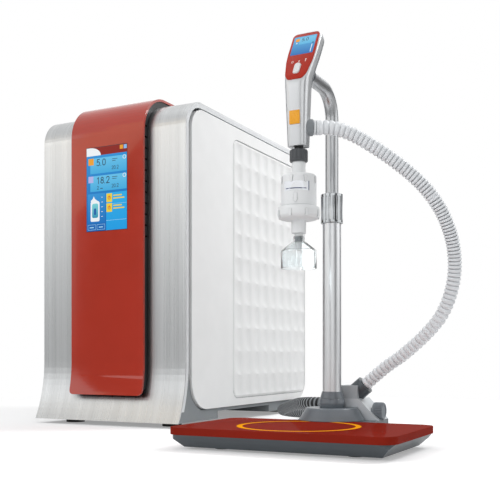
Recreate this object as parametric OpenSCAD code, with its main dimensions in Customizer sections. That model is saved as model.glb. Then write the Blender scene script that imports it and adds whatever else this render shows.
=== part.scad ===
// Ultrapure water system: bench cabinet with a display fascia, and a stand with a corded dispensing handset.
// Millimetres, +Z up, the front towards -Y. The origin lies on the bench under the middle of the whole set.

/* [Cabinet] */
// Width over the side panels
cab_w = 290; // [270:1:320]
// Depth from the upright front face to the back
cab_d = 480; // [460:1:520]
// Height of the steel top above the bench
cab_h = 532; // [520:1:570]
// Height of the rubber feet
foot_h = 8; // [6:0.5:10]
// Radius of the rubber feet
foot_r = 16; // [12:0.5:20]
// How far the steel flares forward at its lower edge
flare_out = 23; // [16:0.5:28]
// Height of the flared part of the front
flare_h = 97; // [85:1:115]
// Radius of the curve between front and top
top_r = 49; // [42:1:56]
// Thickness of the steel wrap
steel_t = 2; // [1.5:0.1:3]
// Depth of the light trims behind the edges of the steel
trim_d = 7; // [5:0.5:8]
// Thickness of the base chassis
base_t = 18; // [17:0.5:22]
// Height of the arch under the base chassis
arch_h = 13; // [8:0.5:14]
// Length of the arch
arch_l = 260; // [200:1:300]
// Thickness of the inner side frames
frame_t = 4; // [3:0.5:5]
// Thickness of the rear panel
rear_t = 6; // [4:0.5:8]

/* [Side panels] */
// Thickness of a side panel
panel_t = 12.7; // [11:0.1:14]
// Set-back of the panel from the front face
panel_y = 19; // [16:0.5:24]
// Gap between the base chassis and the panel
panel_gap_z = 1; // [0.5:0.1:2]
// Gap between the trim and the top of the panel
panel_gap_top = 2; // [1:0.1:4]
// Corner radius at the lower front of the panel
panel_r_front = 50; // [40:1:56]
// Corner radius at the lower back of the panel
panel_r_back = 40; // [30:1:46]
// Corner radius at the top of the panel
panel_r_top = 36; // [28:1:40]
// Set-back of the quilted insert from the front face
quilt_y = 159; // [140:1:180]
// Gap between the insert's upper edge and the panel's
quilt_down = 21; // [16:1:40]
// Height of the insert's lower edge above the panel's
quilt_up = 13; // [10:1:16]
// Thickness of the quilted insert
quilt_t = 3; // [2:0.1:4]
// Corner radius of the quilted insert
quilt_r = 18; // [8:1:24]
// Radius of the push-in studs that hold a panel
stud_r = 4; // [3:0.1:5]
// Length of a stud from its seat in the panel
stud_l = 12; // [10:0.5:14]
// How deep a stud is seated in the panel
stud_seat = 4; // [3:0.1:5]

/* [Fascia] */
// Width of the red fascia
fascia_w = 147; // [130:1:160]
// Thickness of the red fascia
fascia_t = 4; // [3:0.5:5]
// Thickness of the vented spacer behind the fascia
spacer_t = 10; // [9:0.5:12]
// Height of the fascia's lower edge above the bench
fascia_z = 51; // [46:1:60]
// Radius of the fascia's lower corners
fascia_r = 8; // [4:0.5:12]
// How far the fascia reaches back over the top
fascia_y = 95; // [80:1:120]
// Width of the display
display_w = 83; // [78:0.5:90]
// Height of the display
display_h = 140.5; // [130:0.5:146]
// Distance from the steel top down to the display
display_drop = 68; // [60:0.5:80]
// Depth of the display unit behind the fascia
display_d = 8; // [6:0.5:8.5]
// Number of vent slots in the spacer
slots = 11; // [6:1:12]
// Distance between the vent slots
slot_pitch = 18; // [14:0.5:19]
// Height of one vent slot
slot_h = 3; // [2:0.5:5]
// How far the lowest vent slot lies below the display
slot_drop = 14.5; // [10:0.5:30]

/* [Inside the cabinet] */
// Height of the service tray
tray_z = 262; // [255:1:270]
// Thickness of the service tray
tray_t = 3; // [2:0.5:4]
// Radius of the reverse-osmosis module
ro_r = 40; // [34:1:44]
// Length of the reverse-osmosis module
ro_l = 320; // [280:1:340]
// Radius of the purification cartridges
cart_r = 42; // [36:1:46]
// Distance between the purification cartridges
cart_pitch = 106; // [98:1:112]
// Height of the purification cartridges
cart_h = 200; // [180:1:215]
// Radius of the booster pump motor
pump_r = 35; // [30:1:40]
// Length of the booster pump
pump_l = 100; // [90:1:104]
// Radius of the recirculation pump
recirc_r = 28; // [24:1:34]
// Height of the recirculation pump
recirc_h = 90; // [80:1:100]
// Radius of the ultraviolet chamber
uv_r = 30; // [26:1:34]
// Length of the ultraviolet chamber
uv_l = 250; // [220:1:258]
// Height of the saddles under the lying tubes
saddle_h = 4; // [3:0.5:6]
// Width of the power supply
psu_w = 110; // [100:1:116]
// Length of the power supply
psu_l = 130; // [110:1:140]
// Height of the power supply
psu_h = 70; // [60:1:80]
// Width of the control board
board_w = 170; // [150:1:190]
// Height of the control board
board_h = 165; // [140:1:180]

/* [Rear connections] */
// Width of the power inlet flange
inlet_w = 90; // [84:1:96]
// Height of the power inlet flange
inlet_h = 34; // [32:1:38]
// Height of the inlet's middle above the bench
inlet_z = 75; // [65:1:90]
// Radius of the rocker switch
switch_r = 9; // [8:0.5:10]
// Radius of the switch's side pins
switch_pin_r = 1.5; // [1:0.1:2]
// Outer radius of a push-in water fitting
fit_r = 7; // [6:0.1:8]
// Tube radius of a push-in water fitting
fit_bore_r = 3.2; // [2.5:0.1:4]
// How far a water fitting stands out at the back
fit_out = 12; // [10:0.5:14]
// Distance between the water fittings
fit_pitch = 30; // [24:1:32]

/* [Stand plate] */
// Distance of the pole to the right of the cabinet's left side
stand_dx = 565; // [560:1:600]
// Distance of the pole in front of the cabinet's front face
stand_dy = 65; // [55:1:80]
// Width of the red plate
plate_w = 292; // [270:1:310]
// Depth of the red plate
plate_d = 183; // [176:1:200]
// Thickness of the red plate
plate_t = 9; // [7:0.5:11]
// Height of the plate's upper face above the bench
plate_z = 28; // [26:0.5:32]
// Corner radius of the plate
plate_r = 20; // [12:1:24]
// Offset of the plate's middle to the right of the pole
plate_dx = 5; // [0:1:8]
// Outer radius of the ring inlay
ring_r = 78; // [60:1:84]
// Width of the ring inlay
ring_w = 7; // [4:0.5:8]
// Depth of the ring inlay
ring_t = 0.6; // [0.4:0.1:1]
// Height of the pads under the stand
pad_h = 3; // [2:0.5:4]
// Radius of the pads under the stand
pad_r = 10; // [8:0.5:12]

/* [Pole] */
// Lower radius of the boss that holds the pole
boss_r = 46; // [42:0.5:50]
// Upper radius of the boss
boss_top_r = 35; // [30:0.5:40]
// Height of the boss
boss_h = 17; // [14:0.5:20]
// Radius of the dark ring on the boss
collar_r = 17.5; // [16.5:0.1:19]
// Height of the dark ring
collar_h = 12; // [10:0.5:14]
// Height of the upper cone
cone_h = 10; // [8:0.5:12]
// Radius of the lower pole
pole_r = 12.8; // [12:0.1:14]
// Wall of the lower pole
pole_wall = 2.9; // [2.4:0.1:3]
// Height of the top of the lower pole above the bench
pole_top = 333; // [320:1:345]
// Radius of the upper pole
arm_r = 9; // [8:0.1:9.2]
// Wall of the upper pole
arm_wall = 1.5; // [1:0.1:2]
// Height of the gooseneck's level end above the bench
arm_z = 476; // [474:0.5:478]
// Bend radius of the gooseneck
arm_bend = 36; // [30:1:44]
// Distance from the pole to the handset's axis
reach = 113; // [105:1:120]
// Outer radius of the clamp collar
clamp_r = 15.3; // [15:0.1:17]
// Height of the clamp collar
clamp_h = 40; // [34:0.5:46]
// Number of flutes on the clamp collar
flutes = 18; // [12:1:24]
// Length of the guide bush
bush_l = 125; // [110:1:140]

/* [Hose unit] */
// Height of the light sloped housing
housing_h = 29; // [26:0.5:32]
// Radius of the hose socket
socket_r = 13; // [12.5:0.1:14]
// Length of the hose socket
socket_l = 30; // [26:0.5:34]
// Radius of the ribbed knob
knob_r = 12; // [10:0.5:13]
// Length of the ribbed knob
knob_l = 14; // [10:0.5:18]
// Radius of the knob's spindle
spindle_r = 4; // [3:0.1:5]
// Number of ribs on the knob
knob_ribs = 24; // [16:1:30]

/* [Hoses] */
// Outer radius of the hoses on their ribs
hose_r = 9; // [8:0.1:9.4]
// Depth of the ribs
rib_d = 1.3; // [0.8:0.1:2]
// Bore radius of the hoses
hose_bore_r = 6; // [5:0.1:6.6]
// Ribs on the dispense hose
dispense_ribs = 82; // [60:1:96]
// Ribs on the umbilical hose
umbilical_ribs = 71; // [44:1:72]

/* [Handset] */
// Width of the head
head_w = 41; // [38:0.5:44]
// Length of the head along its face
head_l = 85; // [82:0.5:90]
// Thickness of the head
head_t = 16; // [14:0.5:18]
// Tilt of the head backwards
head_tilt = 30; // [26:0.5:32]
// Height of the foot of the face above the bench
face_z = 458; // [457:0.5:460]
// Width of the grip at its top
grip_w = 31; // [28:0.5:34]
// Width of the grip at its lower end
grip_w_low = 25; // [24:0.5:28]
// Depth of the grip at its top
grip_d = 27; // [26:0.5:29]
// Depth of the grip at its lower end
grip_d_low = 21; // [20:0.5:24]
// Height of the grip's lower end above the bench
grip_z = 378; // [374:0.5:380]
// Thickness of the red bezel
bezel_t = 1.6; // [1.2:0.1:2]
// Width of the screen
screen_w = 31; // [28:0.5:32]
// Height of the screen
screen_h = 33; // [30:0.5:34]
// Length of the thumb rocker
rocker_l = 18; // [16:0.5:20]
// Width of the thumb rocker
rocker_w = 9; // [8:0.5:10]
// Width of the square badge
badge_w = 14; // [12:0.5:15]
// Radius of the hose gland
gland_r = 11; // [10.5:0.1:11.5]
// Length of the hose gland outside the shell
gland_l = 8; // [7:0.5:9]

/* [Filter and bell] */
// Radius of the handset's neck
neck_r = 5.5; // [5:0.1:6]
// Outer radius of the filter nut
nut_r = 11.5; // [11:0.1:13]
// Height of the filter nut
nut_h = 15; // [13:0.5:16]
// Radius of the filter's inlet tube
inlet_r = 8.6; // [8:0.1:9]
// Radius of the filter capsule
capsule_r = 22.4; // [20:0.1:24]
// Height of the filter capsule below its shoulder
capsule_h = 35; // [30:0.5:38]
// Radius of the band at the foot of the capsule
band_r = 26.6; // [25:0.1:28]
// Height of that band
band_h = 15; // [12:0.5:17]
// Radius of the outlet tube
outlet_r = 9.2; // [8:0.1:10]
// Radius of the outlet barb
barb_r = 4.3; // [3.5:0.1:5]
// Radius of the dispensing bell
bell_r = 22.5; // [20:0.1:25]
// Wall of the dispensing bell
bell_wall = 1.2; // [1:0.1:1.6]
// Height of the bell's skirt
bell_h = 22; // [18:0.5:24]

/* [Fits] */
// Running clearance round pins, shafts and slides
run = 0.05; // [0.02:0.01:0.1]
// Clearance between fixed pieces
seat = 0.2; // [0.1:0.05:0.3]
// Gap between a side panel and the frame behind it
panel_gap = 0.3; // [0.2:0.05:0.4]

/* [Hidden] */
$fn = 64;

// Places in the frame
x_max = stand_dx + plate_dx + plate_w / 2;
y_min = -stand_dy - reach - plate_d / 2;
y_max = cab_d + fit_out;
origin_x = -x_max / 2;
origin_y = -(y_min + y_max) / 2;

// Cabinet lines
flare_r = (flare_h * flare_h + flare_out * flare_out) / (2 * flare_out);
flare_z = foot_h + flare_h;
base_top = foot_h + base_t;
frame_x = panel_t + panel_gap;
frame_in = frame_x + frame_t;
frame_end = cab_d - rear_t;
inner_d = steel_t + seat;
trim_in = steel_t + trim_d;
panel_z0 = base_top + panel_gap_z;
panel_z1 = cab_h - trim_in - panel_gap_top;
quilt_h = panel_z1 - panel_z0 - quilt_up - quilt_down;
foot_places = [[45, 30], [cab_w - 45, 30], [45, cab_d - 50], [cab_w - 45, cab_d - 50]];
stub_r = 6;
stub_h = 5;
stud_places = [[panel_y + 51, 110], [cab_d - 50, 110], [panel_y + 51, cab_h - 62], [cab_d - 50, cab_h - 62]];
port_z = foot_h + base_t / 2;
fascia_x = (cab_w - fascia_w) / 2;
spacer_in = 1.5;
skin_gap = 0.1;
display_x = (cab_w - display_w) / 2;
display_z = cab_h - display_drop - display_h;
slot_z = display_z - slot_drop;
tray_y = 40;
tray_top = tray_z + tray_t;
cart_x = 205;
cart_y = 124;
cart_base = base_top;
ro_x = 70;
uv_x = 210;
inlet_x = 85;
inlet_body_d = 30;
psu_gap = 14;
psu_x = ro_x + 20;
chip = board_w / 7;
switch_x = inlet_x + 28;
fit_x = 180;
fit_z = 80;
fit_flange = 3;

// Side line of the steel, at the depth d under its outer face, from the height z0 to the depth y1
function arc_pts(cy, cz, r, a0, a1, n) =
  [for (i = [0:n]) let (a = a0 + (a1 - a0) * i / n) [cy + r * cos(a), cz + r * sin(a)]];
function flare_y(d, z) = -flare_r + sqrt(pow(flare_r + d, 2) - pow(flare_z - z, 2));
function skin(d, z0, y1) = concat(
  arc_pts(-flare_r, flare_z, flare_r + d, -asin((flare_z - z0) / (flare_r + d)), 0, 10),
  arc_pts(top_r, cab_h - top_r, top_r - d, 180, 90, 15), [[y1, cab_h - d]]);
function rev(v) = [for (i = [len(v) - 1:-1:0]) v[i]];
function panel_line(g) = concat(
  arc_pts(panel_y + panel_r_front, panel_z0 + panel_r_front, panel_r_front + g, 180, 270, 12),
  arc_pts(cab_d - panel_r_back, panel_z0 + panel_r_back, panel_r_back + g, 270, 360, 12),
  arc_pts(cab_d - panel_r_top, panel_z1 - panel_r_top, panel_r_top + g, 0, 90, 12),
  arc_pts(panel_y + panel_r_top, panel_z1 - panel_r_top, panel_r_top + g, 90, 180, 12));

module cab() translate([origin_x, origin_y, 0]) children();
module stand() translate([origin_x + stand_dx, origin_y - stand_dy, 0]) children();
module gun() stand() translate([0, -reach, 0]) children();
module along_x(x0, w) translate([x0, 0, 0]) rotate([90, 0, 90]) linear_extrude(w) children();
module right_side() translate([cab_w, 0, 0]) mirror([1, 0, 0]) children();
module band(x0, w, d0, d1, z0, y1) along_x(x0, w) polygon(concat(skin(d0, z0, y1), rev(skin(d1, z0, y1))));
module box(x0, x1, y0, y1, z0, z1) translate([x0, y0, z0]) cube([x1 - x0, y1 - y0, z1 - z0]);
module rod_y(x, y0, y1, z, r) translate([x, y0, z]) rotate([-90, 0, 0]) cylinder(h = y1 - y0, r = r);
module rod_x(x0, x1, y, z, r) translate([x0, y, z]) rotate([0, 90, 0]) cylinder(h = x1 - x0, r = r);
module rounded(w, d, r) {
  square([w - 2 * r, d], center = true);
  square([w, d - 2 * r], center = true);
  for (i = [-1, 1])
    for (j = [-1, 1])
      translate([i * (w / 2 - r), j * (d / 2 - r)]) circle(r = r);
}

// ---- cabinet ----
// Grey base with an arch below, and a cheek on each side between the flared front and the side panel
module cheek() {
  h = panel_z0 + panel_r_front;
  front = [for (i = [0:4]) let (z = base_top + (h - base_top) * i / 4) [flare_y(trim_in + seat, z), z]];
  back = arc_pts(panel_y + panel_r_front, h, panel_r_front + panel_gap_top + 1, 180, 250, 8);
  low = [[back[8][0], base_top - 1], [front[0][0], base_top - 1]];
  along_x(spacer_in * 2, frame_x - spacer_in * 2) polygon(concat(front, back, low));
}
module base_chassis() color("#8F9497") cab() difference() {
  union() {
    along_x(spacer_in * 2, cab_w - spacer_in * 4)
      polygon([[flare_y(inner_d, foot_h), foot_h], [flare_y(inner_d, port_z), port_z],
        [flare_y(inner_d, base_top), base_top], [frame_end, base_top], [frame_end, foot_h]]);
    cheek();
    right_side() cheek();
  }
  box(-1, cab_w + 1, (cab_d - arch_l) / 2, (cab_d + arch_l) / 2 - 60, 0, foot_h + arch_h);
  for (p = foot_places) translate([p[0], p[1], foot_h - 1]) cylinder(h = stub_h + 1 + seat, r = stub_r + run);
}
module rubber_feet() color("#2A2C2E") cab() for (p = foot_places) translate([p[0], p[1], 0]) {
  cylinder(h = foot_h, r = foot_r);
  cylinder(h = foot_h + stub_h, r = stub_r);
}
module steel_wrap() color("#C4C7C9") cab() band(0, cab_w, 0, steel_t, foot_h, cab_d);
module edge_trims() color("#DDE0E2") cab() {
  band(0, frame_x, steel_t, trim_in, base_top, cab_d);
  band(cab_w - frame_x, frame_x, steel_t, trim_in, base_top, cab_d);
}
module side_frame() difference() {
  along_x(frame_x, frame_t) polygon(concat(skin(inner_d, base_top, frame_end), [[frame_end, base_top]]));
  for (p = stud_places) rod_x(frame_x - 1, frame_in + 1, p[0], p[1], stud_r + run);
}
module side_frames() color("#26292B") cab() {
  side_frame();
  right_side() side_frame();
}
module rear_panel() color("#B9BDBF") cab() difference() {
  box(frame_x, cab_w - frame_x, frame_end, cab_d, base_top, cab_h - inner_d);
  box(inlet_x - inlet_w / 2 + 4 - seat, inlet_x + inlet_w / 2 - 4 + seat, 0, cab_d + 1,
    inlet_z - inlet_h / 2 + 4 - seat, inlet_z + inlet_h / 2 - 4 + seat);
  for (i = [0:2]) rod_y(fit_x + i * fit_pitch, frame_end - 1, cab_d + 1, fit_z, fit_r + run);
}

// ---- fascia ----
// Cutters for the fascia's lower corners, drawn through from behind the skin to in front of the flare
module low_corners(x0, x1, z, r) for (s = [0, 1]) translate([s ? x1 : x0, top_r, z]) mirror([s, 0, 0])
  rotate([90, 0, 0]) linear_extrude(2 * (top_r + flare_out + spacer_t + fascia_t)) difference() {
    translate([-1, -1]) square(r + 1);
    translate([r, r]) circle(r = r);
  }
module fascia() color("#9E3224") cab() difference() {
  band(fascia_x, fascia_w, -spacer_t - fascia_t, -spacer_t, fascia_z, fascia_y);
  low_corners(fascia_x, fascia_x + fascia_w, fascia_z, fascia_r);
  box(display_x - seat, display_x + display_w + seat, -spacer_t - fascia_t - 1, -spacer_t + 1,
    display_z - seat, display_z + display_h + seat);
}
module fascia_spacer() color("#1F2123") cab() difference() {
  band(fascia_x + spacer_in, fascia_w - spacer_in * 2, -spacer_t + skin_gap, -skin_gap,
    fascia_z + 6, fascia_y + 6);
  low_corners(fascia_x + spacer_in, fascia_x + fascia_w - spacer_in, fascia_z + 6, fascia_r);
  box(display_x - 3 - seat, display_x + display_w + 3 + seat, -spacer_t - 1, 1,
    display_z - 4 - seat, display_z + display_h + 4 + seat);
  for (i = [0:slots - 1]) {
    z = slot_z + i * slot_pitch;
    box(fascia_x, fascia_x + 9, -spacer_t + 1.5, -1.5, z, z + slot_h);
    box(fascia_x + fascia_w - 9, fascia_x + fascia_w, -spacer_t + 1.5, -1.5, z, z + slot_h);
  }
}
module display() color("#2E8FD0") cab() {
  box(display_x, display_x + display_w, -spacer_t - fascia_t - 0.3, -spacer_t,
    display_z, display_z + display_h);
  box(display_x - 3, display_x + display_w + 3, -spacer_t, -spacer_t + display_d,
    display_z - 4, display_z + display_h + 4);
}

// ---- inside ----
module service_tray() color("#A9AEB1") cab()
  box(frame_in, cab_w - frame_in, tray_y, frame_end, tray_z, tray_top);
module lying_tube(x, y0, l, r, z) {
  rod_y(x, y0, y0 + l, z + saddle_h + r, r);
  rod_y(x, y0 + 12, y0 + 26, z + saddle_h + r, r + 2);
  rod_y(x, y0 + l - 26, y0 + l - 12, z + saddle_h + r, r + 2);
  for (y = [y0 + 40, y0 + l - 60]) box(x - r * 0.7, x + r * 0.7, y, y + 20, z, z + saddle_h + r * 0.5);
}
module ro_module() color("#E6E8E9") cab() lying_tube(ro_x, 56, ro_l, ro_r, base_top);
module uv_chamber() color("#C9CDD0") cab() lying_tube(uv_x, 64, uv_l, uv_r, tray_top);
module booster_pump() color("#5B6064") cab() {
  rod_y(cart_x, cab_d - 45 - pump_l, cab_d - 75, base_top + saddle_h + pump_r, pump_r);
  box(cart_x - pump_r, cart_x + pump_r, cab_d - 75, cab_d - 45, base_top, base_top + saddle_h + pump_r * 1.8);
  box(cart_x - pump_r * 0.7, cart_x + pump_r * 0.7, cab_d - 40 - pump_l, cab_d - 90,
    base_top, base_top + saddle_h + pump_r * 0.5);
}
module recirculation_pump() color("#6E7478") cab() translate([ro_x, tray_y + recirc_r + 82, tray_top]) {
  cylinder(h = recirc_h * 0.3, r = recirc_r + 6);
  cylinder(h = recirc_h, r = recirc_r);
}
cart_sump = 16;
cart_head = 20;
module cartridge(y) translate([cart_x, y, cart_base]) {
  cylinder(h = cart_h, r = cart_r - 3);
  cylinder(h = cart_sump, r = cart_r);
  translate([0, 0, cart_h - cart_head]) cylinder(h = cart_head, r = cart_r);
}
module pretreatment_cartridge() color("#F2F3F3") cab() cartridge(cart_y);
module polishing_cartridge() color("#DCE9F3") cab() cartridge(cart_y + cart_pitch);
module cartridge_manifold() color("#3E4245") cab()
  box(cart_x - cart_r, cart_x + cart_r, cart_y - cart_r - 6, cart_y + cart_pitch + cart_r + 6,
    cart_base + cart_h, tray_z);
module power_supply() color("#AEB2B5") cab()
  box(psu_x - psu_w / 2, psu_x + psu_w / 2, frame_end - psu_gap - psu_l, frame_end - psu_gap,
    tray_top, tray_top + psu_h);
board_y = tray_y + 12;
board_t = 2;
module control_board() color("#2F6B45") cab() {
  box((cab_w - board_w) / 2, (cab_w + board_w) / 2, board_y, board_y + board_t, tray_top, tray_top + board_h);
  for (i = [0:3]) translate([(cab_w - board_w) / 2 + chip * (0.8 + 1.5 * i), tray_y + 2,
    tray_top + board_h * (0.24 + 0.085 * i)]) cube([chip, 10, chip]);
}

// ---- rear connections ----
module power_inlet() color("#1B1D1F") cab() difference() {
  union() {
    box(inlet_x - inlet_w / 2, inlet_x + inlet_w / 2, cab_d, cab_d + 3,
      inlet_z - inlet_h / 2, inlet_z + inlet_h / 2);
    box(inlet_x - inlet_w / 2 + 4, inlet_x + inlet_w / 2 - 4, cab_d - inlet_body_d, cab_d,
      inlet_z - inlet_h / 2 + 4, inlet_z + inlet_h / 2 - 4);
  }
  box(inlet_x - 34, inlet_x - 6, cab_d - 15, cab_d + 4, inlet_z - 9, inlet_z + 9);
  box(switch_x - 8, switch_x + 8, cab_d - 14, cab_d + 4, inlet_z - switch_r - 1, inlet_z + switch_r + 1);
  rod_x(switch_x - 11, switch_x + 11, cab_d - 4, inlet_z, switch_pin_r + run);
}
module power_switch() color("#E8E9EA") cab() {
  rod_x(switch_x - 10, switch_x + 10, cab_d - 4, inlet_z, switch_pin_r);
  intersection() {
    rod_x(switch_x - 7.5, switch_x + 7.5, cab_d - 4, inlet_z, switch_r);
    translate([switch_x - 8, cab_d - 4, inlet_z]) rotate([8, 0, 0]) box(0, 16, -5, 7.5, -switch_r, switch_r);
  }
}
module water_fittings() color("#D9DCDE") cab() for (i = [0:2]) difference() {
  union() {
    rod_y(fit_x + i * fit_pitch, frame_end - 10, cab_d + fit_out, fit_z, fit_r);
    rod_y(fit_x + i * fit_pitch, cab_d, cab_d + fit_flange, fit_z, fit_r + 3);
    rod_y(fit_x + i * fit_pitch, frame_end - fit_flange, frame_end, fit_z, fit_r + 3);
  }
  rod_y(fit_x + i * fit_pitch, cab_d - 8, cab_d + fit_out + 1, fit_z, fit_bore_r);
}

// ---- side panels ----
module quilt_slab(g, x0, t) translate([x0, 0, 0]) rotate([90, 0, 90]) linear_extrude(t)
  translate([(quilt_y + cab_d - 2.5) / 2, panel_z0 + quilt_up + quilt_h / 2])
    rounded(cab_d - 2.5 - quilt_y + 2 * g, quilt_h + 2 * g, quilt_r);
module side_panel() difference() {
  along_x(0, panel_t) polygon(panel_line(0));
  quilt_slab(seat, -1, quilt_t + 1);
  for (p = stud_places) rod_x(panel_t - stud_seat, panel_t + 1, p[0], p[1], stud_r + run);
}
module studs() for (p = stud_places) {
  rod_x(panel_t - stud_seat, panel_t - stud_seat + stud_l - 1.5, p[0], p[1], stud_r);
  rod_x(panel_t - stud_seat + 1, panel_t - stud_seat + stud_l, p[0], p[1], stud_r - 1);
}
module left_side_panel() color("#F3F4F4") cab() side_panel();
module left_quilt() color("#EEF0F0") cab() quilt_slab(0, 0, quilt_t);
module left_studs() color("#C9CCCE") cab() studs();
module right_side_panel() color("#F3F4F4") cab() right_side() side_panel();
module right_quilt() color("#EEF0F0") cab() right_side() quilt_slab(0, 0, quilt_t);
module right_studs() color("#C9CCCE") cab() right_side() studs();

// ---- stand ----
tray_in = 2;
tray_low = plate_z - plate_t;
plate_back = -reach + plate_d / 2;
deck_r = boss_r + 0.5;
deck_x = 62;
deck_y = 58;
deck_pad = deck_y - 30;
deck_root = plate_back - 26;
wide = 200;
pad_places = [[-plate_w / 2 + 58, 46 - plate_d / 2], [plate_w / 2 - 58, 46 - plate_d / 2],
  [-plate_w / 2 + 58, plate_d / 2 - 46], [plate_w / 2 - 58, plate_d / 2 - 46]];
boss_z = plate_z + boss_h;
ring_z = boss_z + collar_h;
cone_z = ring_z + cone_h;
pole_seat = 2;
housing_top = plate_z + housing_h;
unit_y = 30;
unit_y0 = unit_y - socket_r - 4;
unit_y1 = unit_y + socket_r + 4;
socket_end = [38, 30, 76];
socket_tilt = 40;
bracket_top = 75;
bracket_x = 5;
bracket_x1 = 32;
knob_x = 51;
knob_z = plate_z + knob_r;

module plate_top() color("#A8301F") stand() translate([plate_dx, -reach, 0]) difference() {
  translate([0, 0, tray_low]) linear_extrude(plate_t) rounded(plate_w, plate_d, plate_r);
  translate([-plate_dx, 0, plate_z - ring_t]) difference() {
    cylinder(h = 5, r = ring_r + run, $fn = 128);
    translate([0, 0, -1]) cylinder(h = 7, r = ring_r - ring_w - run, $fn = 128);
  }
}
module plate_ring() color("#F2A21E") gun() translate([0, 0, plate_z - ring_t]) difference() {
  cylinder(h = ring_t, r = ring_r, $fn = 128);
  translate([0, 0, -1]) cylinder(h = 7, r = ring_r - ring_w, $fn = 128);
}
// Dark tray: the faces taper in by the tray's height, and a deck behind it carries the boss
module plate_tray() color("#474B4E") stand() difference() {
  union() {
    translate([plate_dx, -reach, 0]) difference() {
      translate([0, 0, pad_h]) linear_extrude(tray_low - pad_h)
        rounded(plate_w - 2 * tray_in, plate_d - 2 * tray_in, plate_r);
      for (s = [-1, 1]) {
        translate([s * (plate_w / 2 - tray_in), 0, tray_low]) rotate([0, s * 45, 0])
          translate([s > 0 ? 0 : -60, -plate_d, -60]) cube([60, 2 * plate_d, 120]);
        translate([0, s * (plate_d / 2 - tray_in), tray_low]) rotate([-s * 45, 0, 0])
          translate([-plate_w, s > 0 ? 0 : -60, -60]) cube([2 * plate_w, 60, 120]);
      }
    }
    difference() {
      union() {
        translate([0, 0, pad_h]) cylinder(h = plate_z - pad_h, r = deck_r);
        box(0, deck_x, plate_back, deck_y, pad_h, plate_z);
      }
      box(-wide, wide, -wide, plate_back, tray_low, plate_z + 1);
      box(-wide, wide, -wide, deck_root, 0, tray_low);
    }
  }
  translate([plate_dx, -reach, pad_h - 1])
    for (p = pad_places) translate([p[0], p[1], 0]) cylinder(h = stub_h, r = stub_r - 2 + run);
  translate([0, deck_pad, pad_h - 1]) cylinder(h = stub_h, r = stub_r - 2 + run);
}
module pad() {
  cylinder(h = pad_h, r = pad_r);
  cylinder(h = pad_h + stub_h - 1.2, r = stub_r - 2);
}
module plate_feet() color("#26282A") stand() {
  translate([plate_dx, -reach, 0]) for (p = pad_places) translate([p[0], p[1], 0]) pad();
  translate([0, deck_pad, 0]) pad();
}
module boss_line(g) rotate_extrude($fn = 96) polygon([[0, plate_z - g], [boss_r + g, plate_z - g],
  [boss_top_r + g, boss_z + g], [collar_r + g, boss_z + g], [collar_r + g, ring_z + g],
  [pole_r + 1 + g, cone_z + g], [0, cone_z + g]]);
module pole_boss() color("#4B5053") stand() difference() {
  rotate_extrude($fn = 96) polygon([[0, plate_z], [boss_r, plate_z], [boss_top_r, boss_z], [0, boss_z]]);
  translate([0, 0, plate_z + pole_seat]) cylinder(h = boss_h, r = pole_r + run);
}
module boss_ring() color("#3C4042") stand() rotate_extrude($fn = 96)
  polygon([[pole_r + run, boss_z], [collar_r - 1, boss_z], [collar_r, boss_z + 2],
    [collar_r - 1, ring_z], [pole_r + run, ring_z]]);
module boss_cap() color("#45494C") stand() rotate_extrude($fn = 96)
  polygon([[pole_r + run, ring_z], [collar_r - 1.5, ring_z], [pole_r + 1, cone_z], [pole_r + run, cone_z]]);
module lower_pole() color("#D5D8DA") stand() translate([0, 0, plate_z + pole_seat]) difference() {
  cylinder(h = pole_top - plate_z - pole_seat, r = pole_r);
  translate([0, 0, 3]) cylinder(h = pole_top, r = pole_r - pole_wall);
}
clamp_lip = 4.5;
clamp_z = pole_top + clamp_lip - clamp_h;
bush_r = pole_r - pole_wall - run;
bush_top = pole_top - 3;
module clamp_collar() color("#E3E5E7") stand() difference() {
  translate([0, 0, clamp_z]) cylinder(h = clamp_h, r = clamp_r);
  translate([0, 0, clamp_z - 1]) cylinder(h = clamp_h - clamp_lip + 1 + seat, r = pole_r + run);
  translate([0, 0, clamp_z]) cylinder(h = clamp_h + 1, r = bush_r + seat);
  for (i = [0:flutes - 1]) rotate([0, 0, i * 360 / flutes])
    translate([clamp_r + 0.6, 0, clamp_z + 5]) cylinder(h = clamp_h - 10, r = 1.4, $fn = 24);
}
module guide_bush() color("#B9BDC0") stand() translate([0, 0, bush_top - bush_l]) difference() {
  cylinder(h = bush_l, r = bush_r);
  translate([0, 0, -1]) cylinder(h = bush_l + 2, r = arm_r + run);
}
arm_end = reach - 23;
module arm_line(r, z0) {
  translate([0, 0, z0]) cylinder(h = arm_z - arm_bend - z0, r = r);
  translate([0, -arm_bend, arm_z - arm_bend]) rotate([90, 0, 90])
    rotate_extrude(angle = 90) translate([arm_bend, 0]) circle(r = r);
  translate([0, -arm_bend, arm_z]) rotate([90, 0, 0]) cylinder(h = arm_end - arm_bend, r = r);
}
module upper_pole() color("#D9DCDE") stand() difference() {
  union() {
    arm_line(arm_r, bush_top - bush_l - 4);
    translate([0, 0, bush_top - bush_l - 4]) cylinder(h = 4 - run, r = bush_r - 0.2);
    translate([0, 0, bush_top + run]) cylinder(h = 3, r = bush_r - 0.2);
  }
  arm_line(arm_r - arm_wall, bush_top - bush_l - 5);
}
// Cup on the end of the gooseneck, with the peg that carries the handset
cup_r = 11;
cup_face = reach - 15;
peg_r = 5;
peg_l = 8;
module cradle() color("#3E4245") stand() translate([0, 0, arm_z]) rotate([90, 0, 0]) {
  difference() {
    translate([0, 0, arm_end - 6]) cylinder(h = cup_face - arm_end + 6, r = cup_r);
    translate([0, 0, arm_end - 7]) cylinder(h = 7 + run, r = arm_r + run);
  }
  translate([0, 0, cup_face - 1]) cylinder(h = peg_l + 1, r = peg_r);
}

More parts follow.
